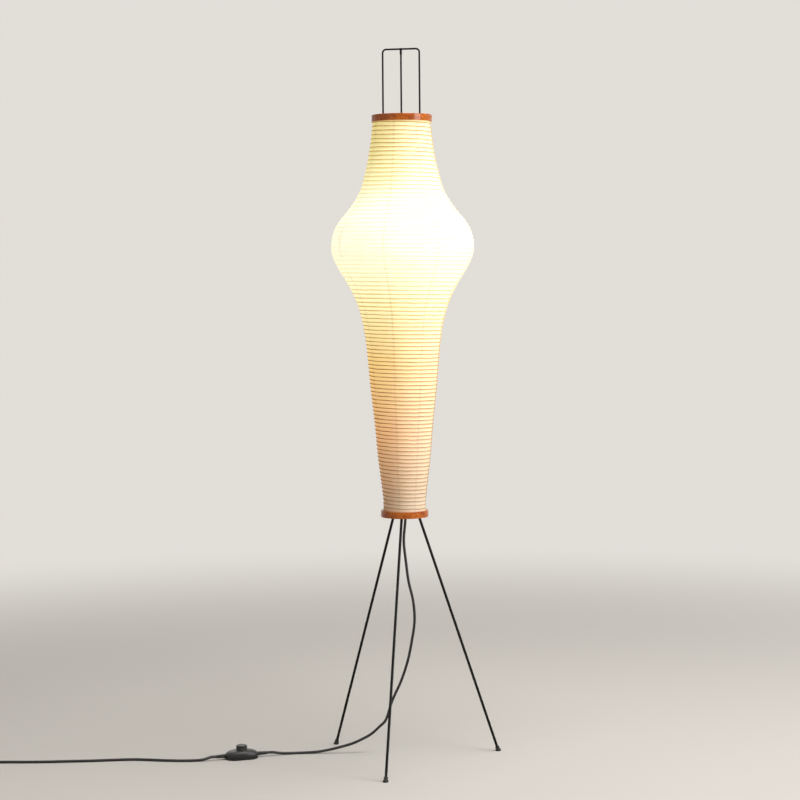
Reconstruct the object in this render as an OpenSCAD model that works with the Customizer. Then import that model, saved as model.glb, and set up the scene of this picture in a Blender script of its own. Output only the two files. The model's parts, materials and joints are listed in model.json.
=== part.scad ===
// Paper lantern floor lamp on three splayed wire legs. Millimetres, +Z up, origin on the floor
// under the stem, front leg towards -Y. The tall paper shade hangs by a wire bail from the
// stem's top and is kept in line by a wire spreader that rests on the hub inside it.

/* [Shade] */
// Height of the shade's lower rim above the floor
shade_z = 538; // [525:1:550]
// Height of the shade from its lower rim to its upper rim
shade_h = 885; // [870:1:900]
// Height above the lower rim at which the shade's two halves meet
seam_h = 462; // [455:1:475]
// Number of rib pitches above the seam
upper_pitches = 45; // [30:1:48]
// Number of rib pitches below the seam
lower_pitches = 53; // [30:1:56]
// Depth of the paper's fold between two ribs
fold_d = 1.2; // [0.4:0.1:1.6]
// Thickness of the paper with its glue
paper_t = 0.6; // [0.4:0.1:0.8]
// Height of a rib, which is a flat strip of split bamboo
rib_w = 1.8; // [1.2:0.1:2.2]
// Thickness of a rib
rib_t = 1.2; // [0.8:0.1:1.6]
// Length of paper tucked into each hoop
paper_tuck = 4; // [3:0.5:5]

/* [Shade outline, heights above the lower rim] */
// Height of the slim part's outline point
slim_h = 162; // [150:1:175]
// Radius of the slim part
slim_r = 61.5; // [58:0.5:65]
// Height of the middle part's outline point
middle_h = 312; // [300:1:325]
// Radius of the middle part
middle_r = 76.4; // [73:0.1:79]
// Height at which the outline starts to flare
flare_h = 432; // [425:1:440]
// Radius at the start of the flare
flare_r = 90.8; // [88:0.1:94]
// Height of the belly's underside
under_h = 522; // [516:1:528]
// Radius of the belly's underside
under_r = 126.9; // [124:0.1:130]
// Height of the belly
belly_h = 595; // [590:1:600]
// Radius of the belly
belly_r = 158.2; // [154:0.1:162]
// Height of the shoulder above the belly
shoulder_h = 662; // [656:1:668]
// Radius of the shoulder
shoulder_r = 132; // [129:0.5:135]
// Height of the collar under the upper rim
collar_h = 737; // [731:1:743]
// Radius of the collar
collar_r = 87.5; // [84:0.5:91]

/* [Hoops and bail] */
// Outer radius of the upper hoop
top_hoop_r = 67.2; // [66:0.1:69]
// Wall of the upper hoop
top_hoop_wall = 2.6; // [2:0.1:3.2]
// Height of the upper hoop
top_hoop_h = 15; // [13:0.5:17]
// Outer radius of the lower hoop
low_hoop_r = 52.5; // [51:0.1:54]
// Wall of the lower hoop
low_hoop_wall = 5.4; // [5:0.1:6]
// Height of the lower hoop
low_hoop_h = 14.5; // [13:0.5:16]
// Chamfer along the hoops' edges
hoop_chamfer = 0.7; // [0.3:0.1:0.9]
// Rise of the bail's top above the shade's upper rim
bail_rise = 147; // [130:1:165]
// Half of the bail's width between wire centres
bail_half_w = 41.2; // [36:0.2:45]
// Diameter of the bail's wire
bail_d = 4; // [3:0.2:4.4]
// Bend radius of the bail's upper corners
bail_bend = 8; // [6:0.5:12]
// Bend radius where the bail turns out to the hoop
pin_bend = 6; // [5:0.5:8]

/* [Stem and hub] */
// Diameter of the stem
stem_d = 4; // [3.4:0.1:4.4]
// Height of the hub's underside above the floor
hub_z = 588; // [582:1:592]
// Height of the hub's body
hub_h = 28; // [26:1:30]
// Radius of the hub's body
hub_r = 22; // [21:0.5:23]
// Chamfer of the hub's edges
hub_chamfer = 1.5; // [0.5:0.5:2]
// Height of the hub's neck, which holds the stem
neck_h = 20; // [16:1:24]
// Radius of the hub's neck
neck_r = 6; // [5:0.2:6.6]
// Depth of the stem's seat in the neck
stem_seat = 14; // [10:1:16]
// Height of the fork on top of the stem
fork_h = 17; // [14:1:22]
// Width of the fork across the bar
fork_w = 4; // [3.6:0.1:5]
// Thickness of each prong of the fork
prong_t = 1.5; // [1:0.1:2.2]
// Length of the stem's thin end inside the fork
spigot_l = 6; // [4:0.5:8]
// Diameter of the stem's thin end
spigot_d = 2.4; // [2:0.1:2.8]
// Diameter of the wire of the spreader
spreader_d = 3.5; // [3:0.1:3.8]
// Centre radius of the spreader's ring around the stem
spreader_r = 20.5; // [20:0.5:22]
// Radius at which the spreader's arms bend down
knee_r = 29; // [28:0.5:31]
// Radius at which the spreader's arms bend out to the hoop
ankle_r = 41; // [40:0.5:41.5]
// Height of the arms' ends above the shade's lower rim
arm_h = 5; // [4:0.5:6]
// Depth of the arms' ends in the hoop
arm_seat = 3; // [2:0.5:4]

/* [Legs and feet] */
// Radius of the circle on which the legs' lines meet the floor
foot_circle_r = 217; // [200:1:235]
// Height at which the legs' lines meet on the stem's axis
apex_z = 633; // [628:1:638]
// Diameter of a leg
leg_d = 6; // [5:0.2:6.6]
// Length from the legs' meeting point down to a leg's top end
leg_gap = 22; // [21:0.5:24]
// Height of a leg's lower end above the floor
foot_seat = 3.5; // [3:0.1:5]
// Diameter of a foot where it stands on the floor
foot_d = 12; // [10:0.5:16]
// Height of a foot's base
foot_base_h = 4; // [3:0.5:5]
// Outer diameter of a foot's sleeve
sleeve_d = 9.6; // [9:0.2:11]
// Length of a foot's sleeve
sleeve_l = 8; // [6:0.5:14]
// Diameter of the set screws in the hub
set_screw_d = 4; // [3:0.5:4.5]
// Height of the legs' set screws above the hub's underside
set_screw_h = 12; // [8:1:14]

/* [Lamp] */
// Height of the lamp bracket above the floor
bracket_z = 1040; // [1030:1:1048]
// Distance of the lamp's axis behind the stem
lamp_y = 36; // [35:0.5:40]
// Thickness of the bracket
bracket_t = 3; // [2:0.5:4]
// Width of the bracket
bracket_w = 16; // [14:1:20]
// Height of the bracket's clamp on the stem
clamp_h = 14; // [10:1:18]
// Radius of the bracket's clamp
clamp_r = 6.5; // [5.5:0.5:8]
// Radius of the hollow nipple that carries the lampholder
nipple_r = 5; // [4.6:0.1:5.4]
// Length of the nipple
nipple_l = 21; // [18:1:24]
// Outer radius of the lampholder
holder_r = 19.5; // [18.8:0.1:21]
// Wall of the lampholder
holder_wall = 2.2; // [1.6:0.1:2.4]
// Height of the lampholder's dome
dome_h = 27; // [24:1:30]
// Height of the lampholder's shell
shell_h = 42; // [36:1:46]
// Height of the insert that holds the contacts
insert_h = 18; // [14:1:20]
// Radius of the bulb's screw cap
cap_r = 13.25; // [13:0.05:13.5]
// Length of the bulb's screw cap
cap_l = 21; // [18:1:24]
// Radius of the bulb's glass ball
bulb_r = 30; // [26:0.5:31]
// Height of the ball's centre above the cap's lower edge
bulb_h = 72; // [68:1:76]
// Thickness of the bulb's glass
glass_t = 1; // [0.6:0.1:1.4]

/* [Cord] */
// Diameter of the cord
cord_d = 6; // [5.6:0.1:6.2]
// Distance of the cord behind the stem
cord_y = 12; // [11.5:0.1:12.2]
// Length of the grip under the hub
grip_l = 28; // [22:1:32]
// Height over which the cord sways out to the lampholder
sway_h = 60; // [58:1:64]
// Lowest radius of the coil's turns
coil_r = 24.8; // [24.2:0.1:26]
// Step from one turn of the coil to the next
coil_step = 6.6; // [6.5:0.05:7]
// Number of turns in the coil
coil_turns = 5.25; // [5.25:1:7.25]
// Thickness of the coil's tie
tie_t = 0.5; // [0.4:0.1:0.6]
// Width of the coil's tie
tie_w = 9; // [6:0.5:12]

/* [Foot switch] */
// Length of the switch
switch_l = 74; // [70:1:80]
// Width of the switch
switch_w = 44; // [40:1:48]
// Height of the switch's cover
switch_h = 20; // [19:0.5:21]
// Height of the cover's upright side
side_h = 11; // [10:0.5:12]
// Height of the cover's ends, from which its roof slopes up to the button
cover_end_h = 14; // [13.8:0.1:15]
// Thickness of the base plate
base_t = 3; // [2:0.5:3]
// Wall of the cover
cover_wall = 2.5; // [2:0.1:2.8]
// Radius of the foot button
button_r = 12; // [10:0.5:13]
// Height of the button's top above the floor
button_top = 30; // [28:0.5:34]
// Travel of the button
button_travel = 4; // [3:0.5:5]
// Radius of the button's flange under the cover
flange_r = 13.8; // [13.4:0.1:14.5]
// Height of the cord's axis where it enters the switch
port_z = 8; // [8:0.1:8.5]
// Length of the strain reliefs outside the cover
relief_l = 20; // [20:1:26]
// Radius of the strain reliefs where they leave their housing
relief_r = 4.7; // [4.2:0.1:4.9]
// Radius of the strain reliefs at the cord
relief_tip_r = 3.5; // [3.4:0.1:4]

/* [Plug] */
// Thickness of the plug, which lies flat on the floor
plug_t = 20; // [19.8:0.1:20.4]
// Width of the plug
plug_w = 36; // [34:0.5:38]
// Length of the plug's body
plug_l = 40; // [36:1:46]
// Diameter of a plug pin
pin_d = 4; // [3.6:0.1:4.8]
// Length of a plug pin outside the body
pin_l = 19; // [17:0.5:20]
// Distance between the pins' axes
pin_spacing = 19; // [17:0.5:20]

/* [Fits] */
// Clearance between pieces that seat on or in each other
fit = 0.3; // [0.2:0.05:0.35]
// Clearance around rods and screws in their bores
bore_fit = 0.15; // [0.1:0.05:0.2]

/* [Hidden] */
$fn = 64;
ROUND_FN = 96;
WIRE_FN = 24;

black = "#1d1b1a";
lacquer = "#8f3f14";
paper = "#f2e6c4";
bamboo = "#a98a58";
brass = "#b9953f";
steel = "#8d8f92";
ceramic = "#e9e6df";

// The shade's two ends and its seam
paper_low_z = shade_z + low_hoop_h - paper_tuck;
paper_top_z = shade_z + shade_h - top_hoop_h + paper_tuck;
seam_z = shade_z + seam_h;
top_hoop_z = shade_z + shade_h - top_hoop_h;
low_inner_r = low_hoop_r - low_hoop_wall;

// The outline of the paper: height, radius and slope at each of its points
outline = [
    [paper_low_z, low_inner_r - fit, 0.06],
    [shade_z + slim_h, slim_r, 0.07],
    [shade_z + middle_h, middle_r, 0.085],
    [shade_z + flare_h, flare_r, 0.22],
    [shade_z + under_h, under_r, 0.61],
    [shade_z + belly_h, belly_r, 0],
    [shade_z + shoulder_h, shoulder_r, -0.89],
    [shade_z + collar_h, collar_r, -0.28],
    [paper_top_z, top_hoop_r - top_hoop_wall - fit, -0.07]
];

// Azimuth of the seam where the first gore starts, and the turn between two gores
gore_azimuth = 267;
gore_gap = 0.1;

// The bail, the stem's top and the hub
top_z = shade_z + shade_h + bail_rise;
bar_z = top_z - bail_d / 2;
pin_drop = 5.5;
pin_inset = 0.6;
bail_pin_z = top_hoop_z + top_hoop_h - pin_drop;
bail_pin_x = top_hoop_r - pin_inset;
fork_z = top_z - fork_h;
hub_top = hub_z + hub_h;
neck_top = hub_top + neck_h;
stem_z = neck_top - stem_seat + fit;
spreader_z = hub_top + fit + spreader_d / 2;
arm_z = shade_z + arm_h;
arm_tip_r = low_inner_r + arm_seat;

// The legs: 0 is the front leg, 1 the right one and 2 the left one
splay = atan(foot_circle_r / apex_z);
leg_end = (apex_z - foot_seat) / cos(splay);
function leg_azimuth(i) = 120 * i - 90;
function leg_r(z) = (apex_z - z) * tan(splay);

// The lampholder and the bulb
holder_z = bracket_z + bracket_t + fit;
holder_split = holder_z + dome_h;
insert_lift = 12;
insert_z = holder_z + insert_lift;
insert_r = holder_r - holder_wall - fit;
contact_h = 3;
contact_r = 3;
tip_z = insert_z + insert_h + contact_h + fit;
tip_h = 2.2;
insulator_h = 3.5;
cap_z = tip_z + tip_h + insulator_h;
cap_wall = 0.5;
thread_depth = 1.2;
neck_outer_r = cap_r - thread_depth - cap_wall;
mount_r = 3.5;
ball_z = cap_z + bulb_h;
nipple_drop = 8;
nipple_z = bracket_z - nipple_drop;

// The cord's clips on the stem, and its way out to the lampholder
clip_z = [700, 800, 900];
clip_h = 8;
sway_gap = 10;
sway_z = nipple_z - sway_gap - sway_h;
cord_gap = 2;
cord_top_z = insert_z - cord_gap;
grip_z = hub_z - fit;
grip_flange = 3;

// The foot switch lies turned on the floor
switch_at = [-362, -62];
switch_turn = 30;
screw_at = [[22.5, 10], [-22.5, -10]];
relief_reach = switch_l / 2 + relief_l;
switch_screw_d = 3;
switch_head_d = 6;
switch_head_h = 1;
screw_lift = 0.2;
flange_t = 2;
flange_top = switch_h - cover_wall - fit;
flange_z = flange_top - flange_t;
button_edge = 2;
cover_slope = 5;
roof_half = 17;
roof_slope = (switch_h - cover_end_h) / (switch_l / 2 - roof_half);
terminal_gap = 1.9;
terminal_w = 8;
terminal_x = 14;
function switch_end(side, reach) = [
    switch_at[0] + side * reach * cos(switch_turn),
    switch_at[1] + side * reach * sin(switch_turn),
    port_z
];

// Points of the cord from the grip down to the switch
drop_points = [
    [-2, 12, 520], [-5, 11, 481], [-1, 13, 436], [4, 16, 392], [13, 21, 347], [15, 25, 302],
    [8, 27, 257], [-2, 29, 212], [-18, 31, 166], [-39, 31, 120], [-53, 32, 79], [-69, 32, 61],
    [-91, 31, 42], [-126, 27, 24], [-154, 23, 15], [-183, 17, 8], [-211, 9, 4], [-245, -1, 3],
    [-278, -15, 4]
];
// Points of the cord from the switch along the floor to the coil
lead_points = [
    [-439, -107, 4], [-471, -117, 3], [-516, -123, 3], [-556, -124, 3], [-594, -127, 3],
    [-635, -139, 3], [-678, -154, 3], [-723, -167, 3], [-769, -180, 3], [-818, -191, 3],
    [-867, -200, 3], [-902, -208, 3]
];
cord_r = cord_d / 2;
exit_z = grip_z - grip_l;
exit_straight = 15;
relief_straight = 13;
lead_straight = 10;
cord_sides = 10;

// The coil starts at the lead's end and turns clockwise, in a lower and an upper layer
coil_heading = 192;
lead_end = [-931, -214];
tie_gap = 0.05;
tie_play = 0.1;
coil_low_z = tie_t + tie_gap + cord_r;
coil_high_z = plug_t / 2;
coil_turn_back = floor(coil_turns) / 2;
coil_end_straight = cord_d;
coil_rings = 24;
coil_sides = 6;
coil_centre = [
    lead_end[0] + coil_end_straight * cos(coil_heading) + coil_turn_r(0) * cos(coil_heading - 90),
    lead_end[1] + coil_end_straight * sin(coil_heading) + coil_turn_r(0) * sin(coil_heading - 90)
];
function coil_turn_r(t) = coil_r + coil_step * abs(t - coil_turn_back);
function ease(x) = let(t = min(1, max(0, x))) t * t * (3 - 2 * t);
function coil_turn_z(t) = coil_low_z + (coil_high_z - coil_low_z) * ease(2 * (t - coil_turn_back) + 0.5);
function coil_point(t) = let(a = coil_heading + 90 - 360 * t, r = coil_turn_r(t))
    [coil_centre[0] + r * cos(a), coil_centre[1] + r * sin(a), coil_turn_z(t)];
coil_last = coil_point(coil_turns);
plug_heading = coil_heading - 360 * coil_turns;
plug_at = [
    coil_last[0] + coil_end_straight * cos(plug_heading),
    coil_last[1] + coil_end_straight * sin(plug_heading),
    coil_last[2]
];
plug_relief_l = 26;
plug_nose = plug_relief_l;
pin_seat = 8;
pin_root_d = pin_d - 0.6;
plug_corner = 2;
plug_relief_r = 5.2;
plug_neck = 7;
plug_cheek = 0.35;

// The outline's cubic between two of its points, and the paper's radius at a height
function cubic(a, b, z) = let(h = b[0] - a[0], t = (z - a[0]) / h)
    (2 * t * t * t - 3 * t * t + 1) * a[1] + (t * t * t - 2 * t * t + t) * h * a[2]
    + (3 * t * t - 2 * t * t * t) * b[1] + (t * t * t - t * t) * h * b[2];
function paper_r(z, i = 0) = i == len(outline) - 2 || z <= outline[i + 1][0]
    ? cubic(outline[i], outline[i + 1], z)
    : paper_r(z, i + 1);
function paper_slope(z) = abs(paper_r(z + 1) - paper_r(z - 1)) / 2;
function fold_z(low, high, pitches, i) = low + (high - low) * i / (2 * pitches);
function rib_r(z, pitch) =
    paper_r(z) - paper_t - fit - rib_w / 2 * (paper_slope(z) + 2 * fold_d / pitch);

// Vectors, and points on a smooth curve through a route's points
function unit(v) = v / norm(v);
function smooth(a, b, c, d, t) = 0.5 * (2 * b + (c - a) * t + (2 * a - 5 * b + 4 * c - d) * t * t
    + (3 * b - a - 3 * c + d) * t * t * t);
function at(p, i) = i < 0 ? 2 * p[0] - p[1] : i >= len(p) ? 2 * p[len(p) - 1] - p[len(p) - 2] : p[i];
function curve(p, steps) = concat(
    [for (i = [0:len(p) - 2]) for (s = [0:steps - 1])
        smooth(at(p, i - 1), p[i], p[i + 1], at(p, i + 2), s / steps)],
    [p[len(p) - 1]]);
function tangent(p, i) = unit(p[min(i + 1, len(p) - 1)] - p[max(i - 1, 0)]);
function ring(centre, along, up, r, sides) =
    let(side = unit(cross(along, up)), rise = cross(side, along))
    [for (k = [0:sides - 1]) centre + r * (cos(360 * k / sides) * side + sin(360 * k / sides) * rise)];
function tube_faces(count, sides) = concat(
    [for (i = [0:count - 2]) for (k = [0:sides - 1])
        let(a = i * sides + k, b = i * sides + (k + 1) % sides)
        each [[a, b + sides, b], [a, a + sides, b + sides]]],
    [[for (k = [0:sides - 1]) k]],
    [[for (k = [sides - 1:-1:0]) (count - 1) * sides + k]]);

// One tube swept along a path, square at both ends
module tube(path, r, sides, up) {
    polyhedron(
        [for (i = [0:len(path) - 1]) each ring(path[i], tangent(path, i), up, r, sides)],
        tube_faces(len(path), sides)
    );
}

// A straight round rod from p to q
module rod(p, q, d) {
    v = q - p;
    translate(p) rotate([0, acos(v[2] / norm(v)), atan2(v[1], v[0])])
        cylinder(h = norm(v), d = d, $fn = WIRE_FN);
}

// A quarter or other part of a ring that joins two straight runs at corner p
module bend(before, p, after, r, d) {
    a = unit(before - p);
    b = unit(after - p);
    half = acos(a * b) / 2;
    centre = p + unit(a + b) * r / sin(half);
    x = unit(p + a * r / tan(half) - centre);
    z = unit(cross(x, unit(p + b * r / tan(half) - centre)));
    y = cross(z, x);
    multmatrix([
        [x[0], y[0], z[0], centre[0]],
        [x[1], y[1], z[1], centre[1]],
        [x[2], y[2], z[2], centre[2]],
        [0, 0, 0, 1]
    ])
        rotate_extrude(angle = 180 - 2 * half, $fn = ROUND_FN) translate([r, 0]) circle(d = d, $fn = WIRE_FN);
}

// A round wire through points, with a bend of its own radius at each inner point
module bent_wire(p, bends, d) {
    last = len(p) - 1;
    cut = [for (i = [0:last]) i == 0 || i == last
        ? 0
        : bends[i - 1] / tan(acos(unit(p[i - 1] - p[i]) * unit(p[i + 1] - p[i])) / 2)];
    for (i = [0:last - 1]) {
        along = unit(p[i + 1] - p[i]);
        rod(p[i] + along * cut[i], p[i + 1] - along * cut[i + 1], d);
    }
    for (i = [1:last - 1]) bend(p[i - 1], p[i], p[i + 1], bends[i - 1], d);
}

// A round wire through points, with a small bead at each sharp kink
module kinked_wire(p, d) {
    bead = 0.6;
    thinner = 0.3;
    for (i = [0:len(p) - 2]) rod(p[i], p[i + 1], d - thinner * (1 - i % 2));
    for (i = [1:len(p) - 2]) translate(p[i]) sphere(d = d + bead, $fn = WIRE_FN);
}

// A hoop bent from a strip of wood, with chamfered edges
module hoop(r, wall, h) {
    c = hoop_chamfer;
    rotate_extrude($fn = ROUND_FN) translate([r - wall, 0]) polygon([
        [c, 0], [wall - c, 0], [wall, c], [wall, h - c], [wall - c, h], [c, h], [0, h - c], [0, c]
    ]);
}

// Folded paper between two heights, as far round as turn
module folded_paper(low, high, pitches, turn) {
    function edge(inset) = [for (i = [0:2 * pitches]) let(z = fold_z(low, high, pitches, i))
        [paper_r(z) - fold_d * (i % 2) - inset, z]];
    inside = edge(paper_t);
    rotate_extrude(angle = turn, $fn = ROUND_FN) polygon(concat(
        edge(0),
        [for (i = [len(inside) - 1:-1:0]) inside[i]]
    ));
}

// One rib inside each crest of the folded paper
module ribs(low, high, pitches) {
    for (i = [1:pitches - 1]) {
        z = fold_z(low, high, pitches, 2 * i);
        translate([0, 0, z]) rotate_extrude($fn = ROUND_FN)
            translate([rib_r(z, (high - low) / pitches) - rib_t, -rib_w / 2]) square([rib_t, rib_w]);
    }
}

module top_hoop() {
    color(lacquer) difference() {
        translate([0, 0, top_hoop_z]) hoop(top_hoop_r, top_hoop_wall, top_hoop_h);
        translate([-top_hoop_r - 1, 0, bail_pin_z]) rotate([0, 90, 0])
            cylinder(h = 2 * top_hoop_r + 2, d = bail_d + 2 * bore_fit);
    }
}

module bottom_hoop() {
    color(lacquer) difference() {
        translate([0, 0, shade_z]) hoop(low_hoop_r, low_hoop_wall, low_hoop_h);
        for (i = [0:2]) rotate([0, 0, leg_azimuth(i) + 60]) translate([low_inner_r - arm_seat, 0, arm_z])
            rotate([0, 90, 0]) cylinder(h = 2 * arm_seat + fit, d = spreader_d + 2 * bore_fit);
    }
}

// One of the eight gores of paper above the seam, counted from the front one to the right
module upper_gore(i) {
    gore_turn = 360 / 8;
    color(paper) rotate([0, 0, gore_azimuth + gore_turn * (i - 1) + gore_gap / 2])
        folded_paper(seam_z + fit / 2, paper_top_z, upper_pitches, gore_turn - gore_gap);
}

module upper_gore_1() { upper_gore(1); }
module upper_gore_2() { upper_gore(2); }
module upper_gore_3() { upper_gore(3); }
module upper_gore_4() { upper_gore(4); }
module upper_gore_5() { upper_gore(5); }
module upper_gore_6() { upper_gore(6); }
module upper_gore_7() { upper_gore(7); }
module upper_gore_8() { upper_gore(8); }

module shade_paper_lower() {
    color(paper) folded_paper(paper_low_z, seam_z - fit / 2, lower_pitches, 360);
}

module shade_ribs_upper() {
    color(bamboo) ribs(seam_z + fit / 2, paper_top_z, upper_pitches);
}

module shade_ribs_lower() {
    color(bamboo) ribs(paper_low_z, seam_z - fit / 2, lower_pitches);
}

// The wire bail: a square arch whose ends turn out into the upper hoop
module bail() {
    color(black) bent_wire(
        [
            [-bail_pin_x, 0, bail_pin_z], [-bail_half_w, 0, bail_pin_z], [-bail_half_w, 0, bar_z],
            [bail_half_w, 0, bar_z], [bail_half_w, 0, bail_pin_z], [bail_pin_x, 0, bail_pin_z]
        ],
        [pin_bend, bail_bend, bail_bend, pin_bend],
        bail_d
    );
}

module stem() {
    color(black) {
        translate([0, 0, stem_z]) cylinder(h = fork_z - stem_z, d = stem_d);
        translate([0, 0, fork_z]) cylinder(h = spigot_l, d = spigot_d);
    }
}

// The slotted top of the stem, in which the bail's bar lies
module stem_fork() {
    slot_w = bail_d + 2 * bore_fit;
    foot_h = 3;
    color(black) difference() {
        union() {
            translate([0, 0, fork_z]) cylinder(h = foot_h, d = fork_w);
            translate([-fork_w / 2, -slot_w / 2 - prong_t, fork_z + foot_h])
                cube([fork_w, slot_w + 2 * prong_t, fork_h - foot_h]);
        }
        translate([-fork_w, 0, bar_z]) rotate([0, 90, 0]) cylinder(h = 2 * fork_w, d = slot_w);
        translate([-fork_w, -slot_w / 2, bar_z]) cube([2 * fork_w, slot_w, fork_h]);
        translate([0, 0, fork_z - 1]) cylinder(h = spigot_l + 1 + fit, d = spigot_d + 2 * bore_fit);
    }
}

// Places its children at the legs' meeting point, with +Z down along leg i
module along_leg(i) {
    rotate([0, 0, leg_azimuth(i)]) translate([0, 0, apex_z]) rotate([0, 180 - splay, 0]) children();
}

// Places its children on the hub's set screw line of leg i, with +X outwards
module at_leg_screw(i) {
    rotate([0, 0, leg_azimuth(i)]) translate([0, 0, hub_z + set_screw_h]) rotate([0, 90, 0]) children();
}

set_tip_r = 0.8;
leg_face_r = leg_r(hub_z + set_screw_h - set_tip_r) + leg_d / 2 / cos(splay) + fit;
screw_sink = 0.5;
neck_screw_d = 3;
neck_screw_drop = 7;
neck_screw_z = neck_top - neck_screw_drop;

module hub() {
    c = hub_chamfer;
    color(black) difference() {
        translate([0, 0, hub_z]) rotate_extrude($fn = ROUND_FN) polygon([
            [0, 0], [hub_r - c, 0], [hub_r, c], [hub_r, hub_h - c], [hub_r - c, hub_h],
            [neck_r, hub_h], [neck_r, hub_h + neck_h], [0, hub_h + neck_h]
        ]);
        for (i = [0:2]) {
            along_leg(i) translate([0, 0, leg_gap - fit]) cylinder(h = 2 * hub_h, d = leg_d + 2 * bore_fit);
            at_leg_screw(i) translate([0, 0, leg_r(hub_z + set_screw_h)])
                cylinder(h = hub_r, d = set_screw_d + 2 * bore_fit);
        }
        translate([0, 0, neck_top - stem_seat]) cylinder(h = stem_seat + 1, d = stem_d + 2 * bore_fit);
        translate([0, 0, neck_screw_z]) rotate([90, 0, 0])
            cylinder(h = neck_r + 1, d = neck_screw_d + 2 * bore_fit);
        translate([0, cord_y, hub_z - 1]) cylinder(h = hub_h + 2, d = grip_spigot_d + 2 * bore_fit);
    }
}

// Three pointed screws that hold the legs in the hub
module leg_screws() {
    point_l = set_screw_d / 2 - set_tip_r;
    color(steel) for (i = [0:2]) at_leg_screw(i) translate([0, 0, leg_face_r]) {
        cylinder(h = point_l, r1 = set_tip_r, r2 = set_screw_d / 2);
        translate([0, 0, point_l])
            cylinder(h = hub_r - leg_face_r - point_l - screw_sink, d = set_screw_d);
    }
}

module neck_screw() {
    tip = stem_d / 2 + fit;
    color(steel) translate([0, -tip, neck_screw_z]) rotate([90, 0, 0])
        cylinder(h = neck_r - tip - screw_sink, d = neck_screw_d);
}

module leg(i) {
    color(black) along_leg(i) translate([0, 0, leg_gap]) cylinder(h = leg_end - leg_gap, d = leg_d);
}

// A glide with a flat base and a sleeve pushed over the leg's end
module foot(i) {
    sleeve_sink = 1;
    color(black) difference() {
        union() {
            rotate([0, 0, leg_azimuth(i)]) translate([foot_circle_r - foot_seat / 2 * tan(splay), 0, 0])
                cylinder(h = foot_base_h, d = foot_d);
            along_leg(i) translate([0, 0, leg_end - sleeve_l + sleeve_sink])
                cylinder(h = sleeve_l, d = sleeve_d);
        }
        along_leg(i) translate([0, 0, leg_end - 2 * sleeve_l])
            cylinder(h = 2 * sleeve_l + fit, d = leg_d + 2 * bore_fit);
    }
}

module leg_front() { leg(0); }
module leg_right() { leg(1); }
module leg_left() { leg(2); }
module foot_front() { foot(0); }
module foot_right() { foot(1); }
module foot_left() { foot(2); }

// A ring around the stem that rests on the hub, with three arms down to the lower hoop
module spreader() {
    color(black) {
        translate([0, 0, spreader_z]) rotate_extrude($fn = ROUND_FN)
            translate([spreader_r, 0]) circle(d = spreader_d, $fn = WIRE_FN);
        for (i = [0:2]) rotate([0, 0, leg_azimuth(i) + 60]) kinked_wire([
            [spreader_r, 0, spreader_z], [knee_r, 0, spreader_z],
            [ankle_r, 0, arm_z], [arm_tip_r, 0, arm_z]
        ], spreader_d);
    }
}

bracket_screw_z = bracket_z + bracket_t + clamp_h / 2;
bracket_screw_d = 4;
thumb_h = 4;
thumb_d = 8;

// A flat arm clamped on the stem, with a hole for the lampholder's nipple
module lamp_bracket() {
    color(black) difference() {
        union() {
            translate([-bracket_w / 2, 0, bracket_z]) cube([bracket_w, lamp_y, bracket_t]);
            translate([0, lamp_y, bracket_z]) cylinder(h = bracket_t, d = bracket_w);
            translate([0, 0, bracket_z]) cylinder(h = bracket_t, d = bracket_w);
            translate([0, 0, bracket_z]) cylinder(h = bracket_t + clamp_h, r = clamp_r);
        }
        translate([0, 0, bracket_z - 1]) cylinder(h = bracket_t + clamp_h + 2, d = stem_d + 2 * bore_fit);
        translate([0, lamp_y, bracket_z - 1]) cylinder(h = bracket_t + 2, r = nipple_r + bore_fit);
        translate([0, 0, bracket_screw_z]) rotate([90, 0, 0])
            cylinder(h = clamp_r + 1, d = bracket_screw_d + 2 * bore_fit);
    }
}

// A thumb screw through the clamp
module bracket_screw() {
    tip = stem_d / 2 + fit;
    head = clamp_r + fit;
    color(steel) translate([0, 0, bracket_screw_z]) rotate([90, 0, 0]) {
        translate([0, 0, tip]) cylinder(h = head - tip, d = bracket_screw_d);
        translate([0, 0, head]) cylinder(h = thumb_h, d = thumb_d);
    }
}

module nipple() {
    color(brass) translate([0, lamp_y, nipple_z]) difference() {
        cylinder(h = nipple_l, r = nipple_r);
        translate([0, 0, -1]) cylinder(h = nipple_l + 2, r = cord_r + bore_fit);
    }
}

module nipple_nut() {
    nut_h = 4;
    nut_wall = 3.2;
    color(brass) translate([0, lamp_y, bracket_z - nut_h]) difference() {
        cylinder(h = nut_h, r = nipple_r + nut_wall, $fn = 6);
        translate([0, 0, -1]) cylinder(h = nut_h + 2, r = nipple_r + bore_fit);
    }
}

// The lower half of the lampholder, open at its top
module lampholder_dome() {
    r = holder_r;
    w = holder_wall;
    floor_t = 2.7;
    edge = 6;
    knee = 2;
    side_z = 7;
    color(black) translate([0, lamp_y, holder_z]) rotate_extrude($fn = ROUND_FN) polygon([
        [nipple_r + bore_fit, 0], [r - edge, 0], [r - knee, knee], [r, side_z], [r, dome_h],
        [r - w, dome_h], [r - w, side_z + 1], [r - w - knee, floor_t], [nipple_r + bore_fit, floor_t]
    ]);
}

// The shell screwed on the dome, open at its top for the bulb
module lampholder_shell() {
    r = holder_r;
    w = holder_wall;
    taper = 0.8;
    taper_h = 4;
    color(black) translate([0, lamp_y, holder_split]) rotate_extrude($fn = ROUND_FN) polygon([
        [r - w, 0], [r, 0], [r, shell_h - taper_h], [r - taper, shell_h], [r - w, shell_h]
    ]);
}

module lampholder_insert() {
    recess_h = 7;
    recess_r = 9;
    color(ceramic) translate([0, lamp_y, insert_z]) difference() {
        cylinder(h = insert_h, r = insert_r);
        translate([0, 0, -1]) cylinder(h = recess_h + 1, r = recess_r);
    }
}

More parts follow.
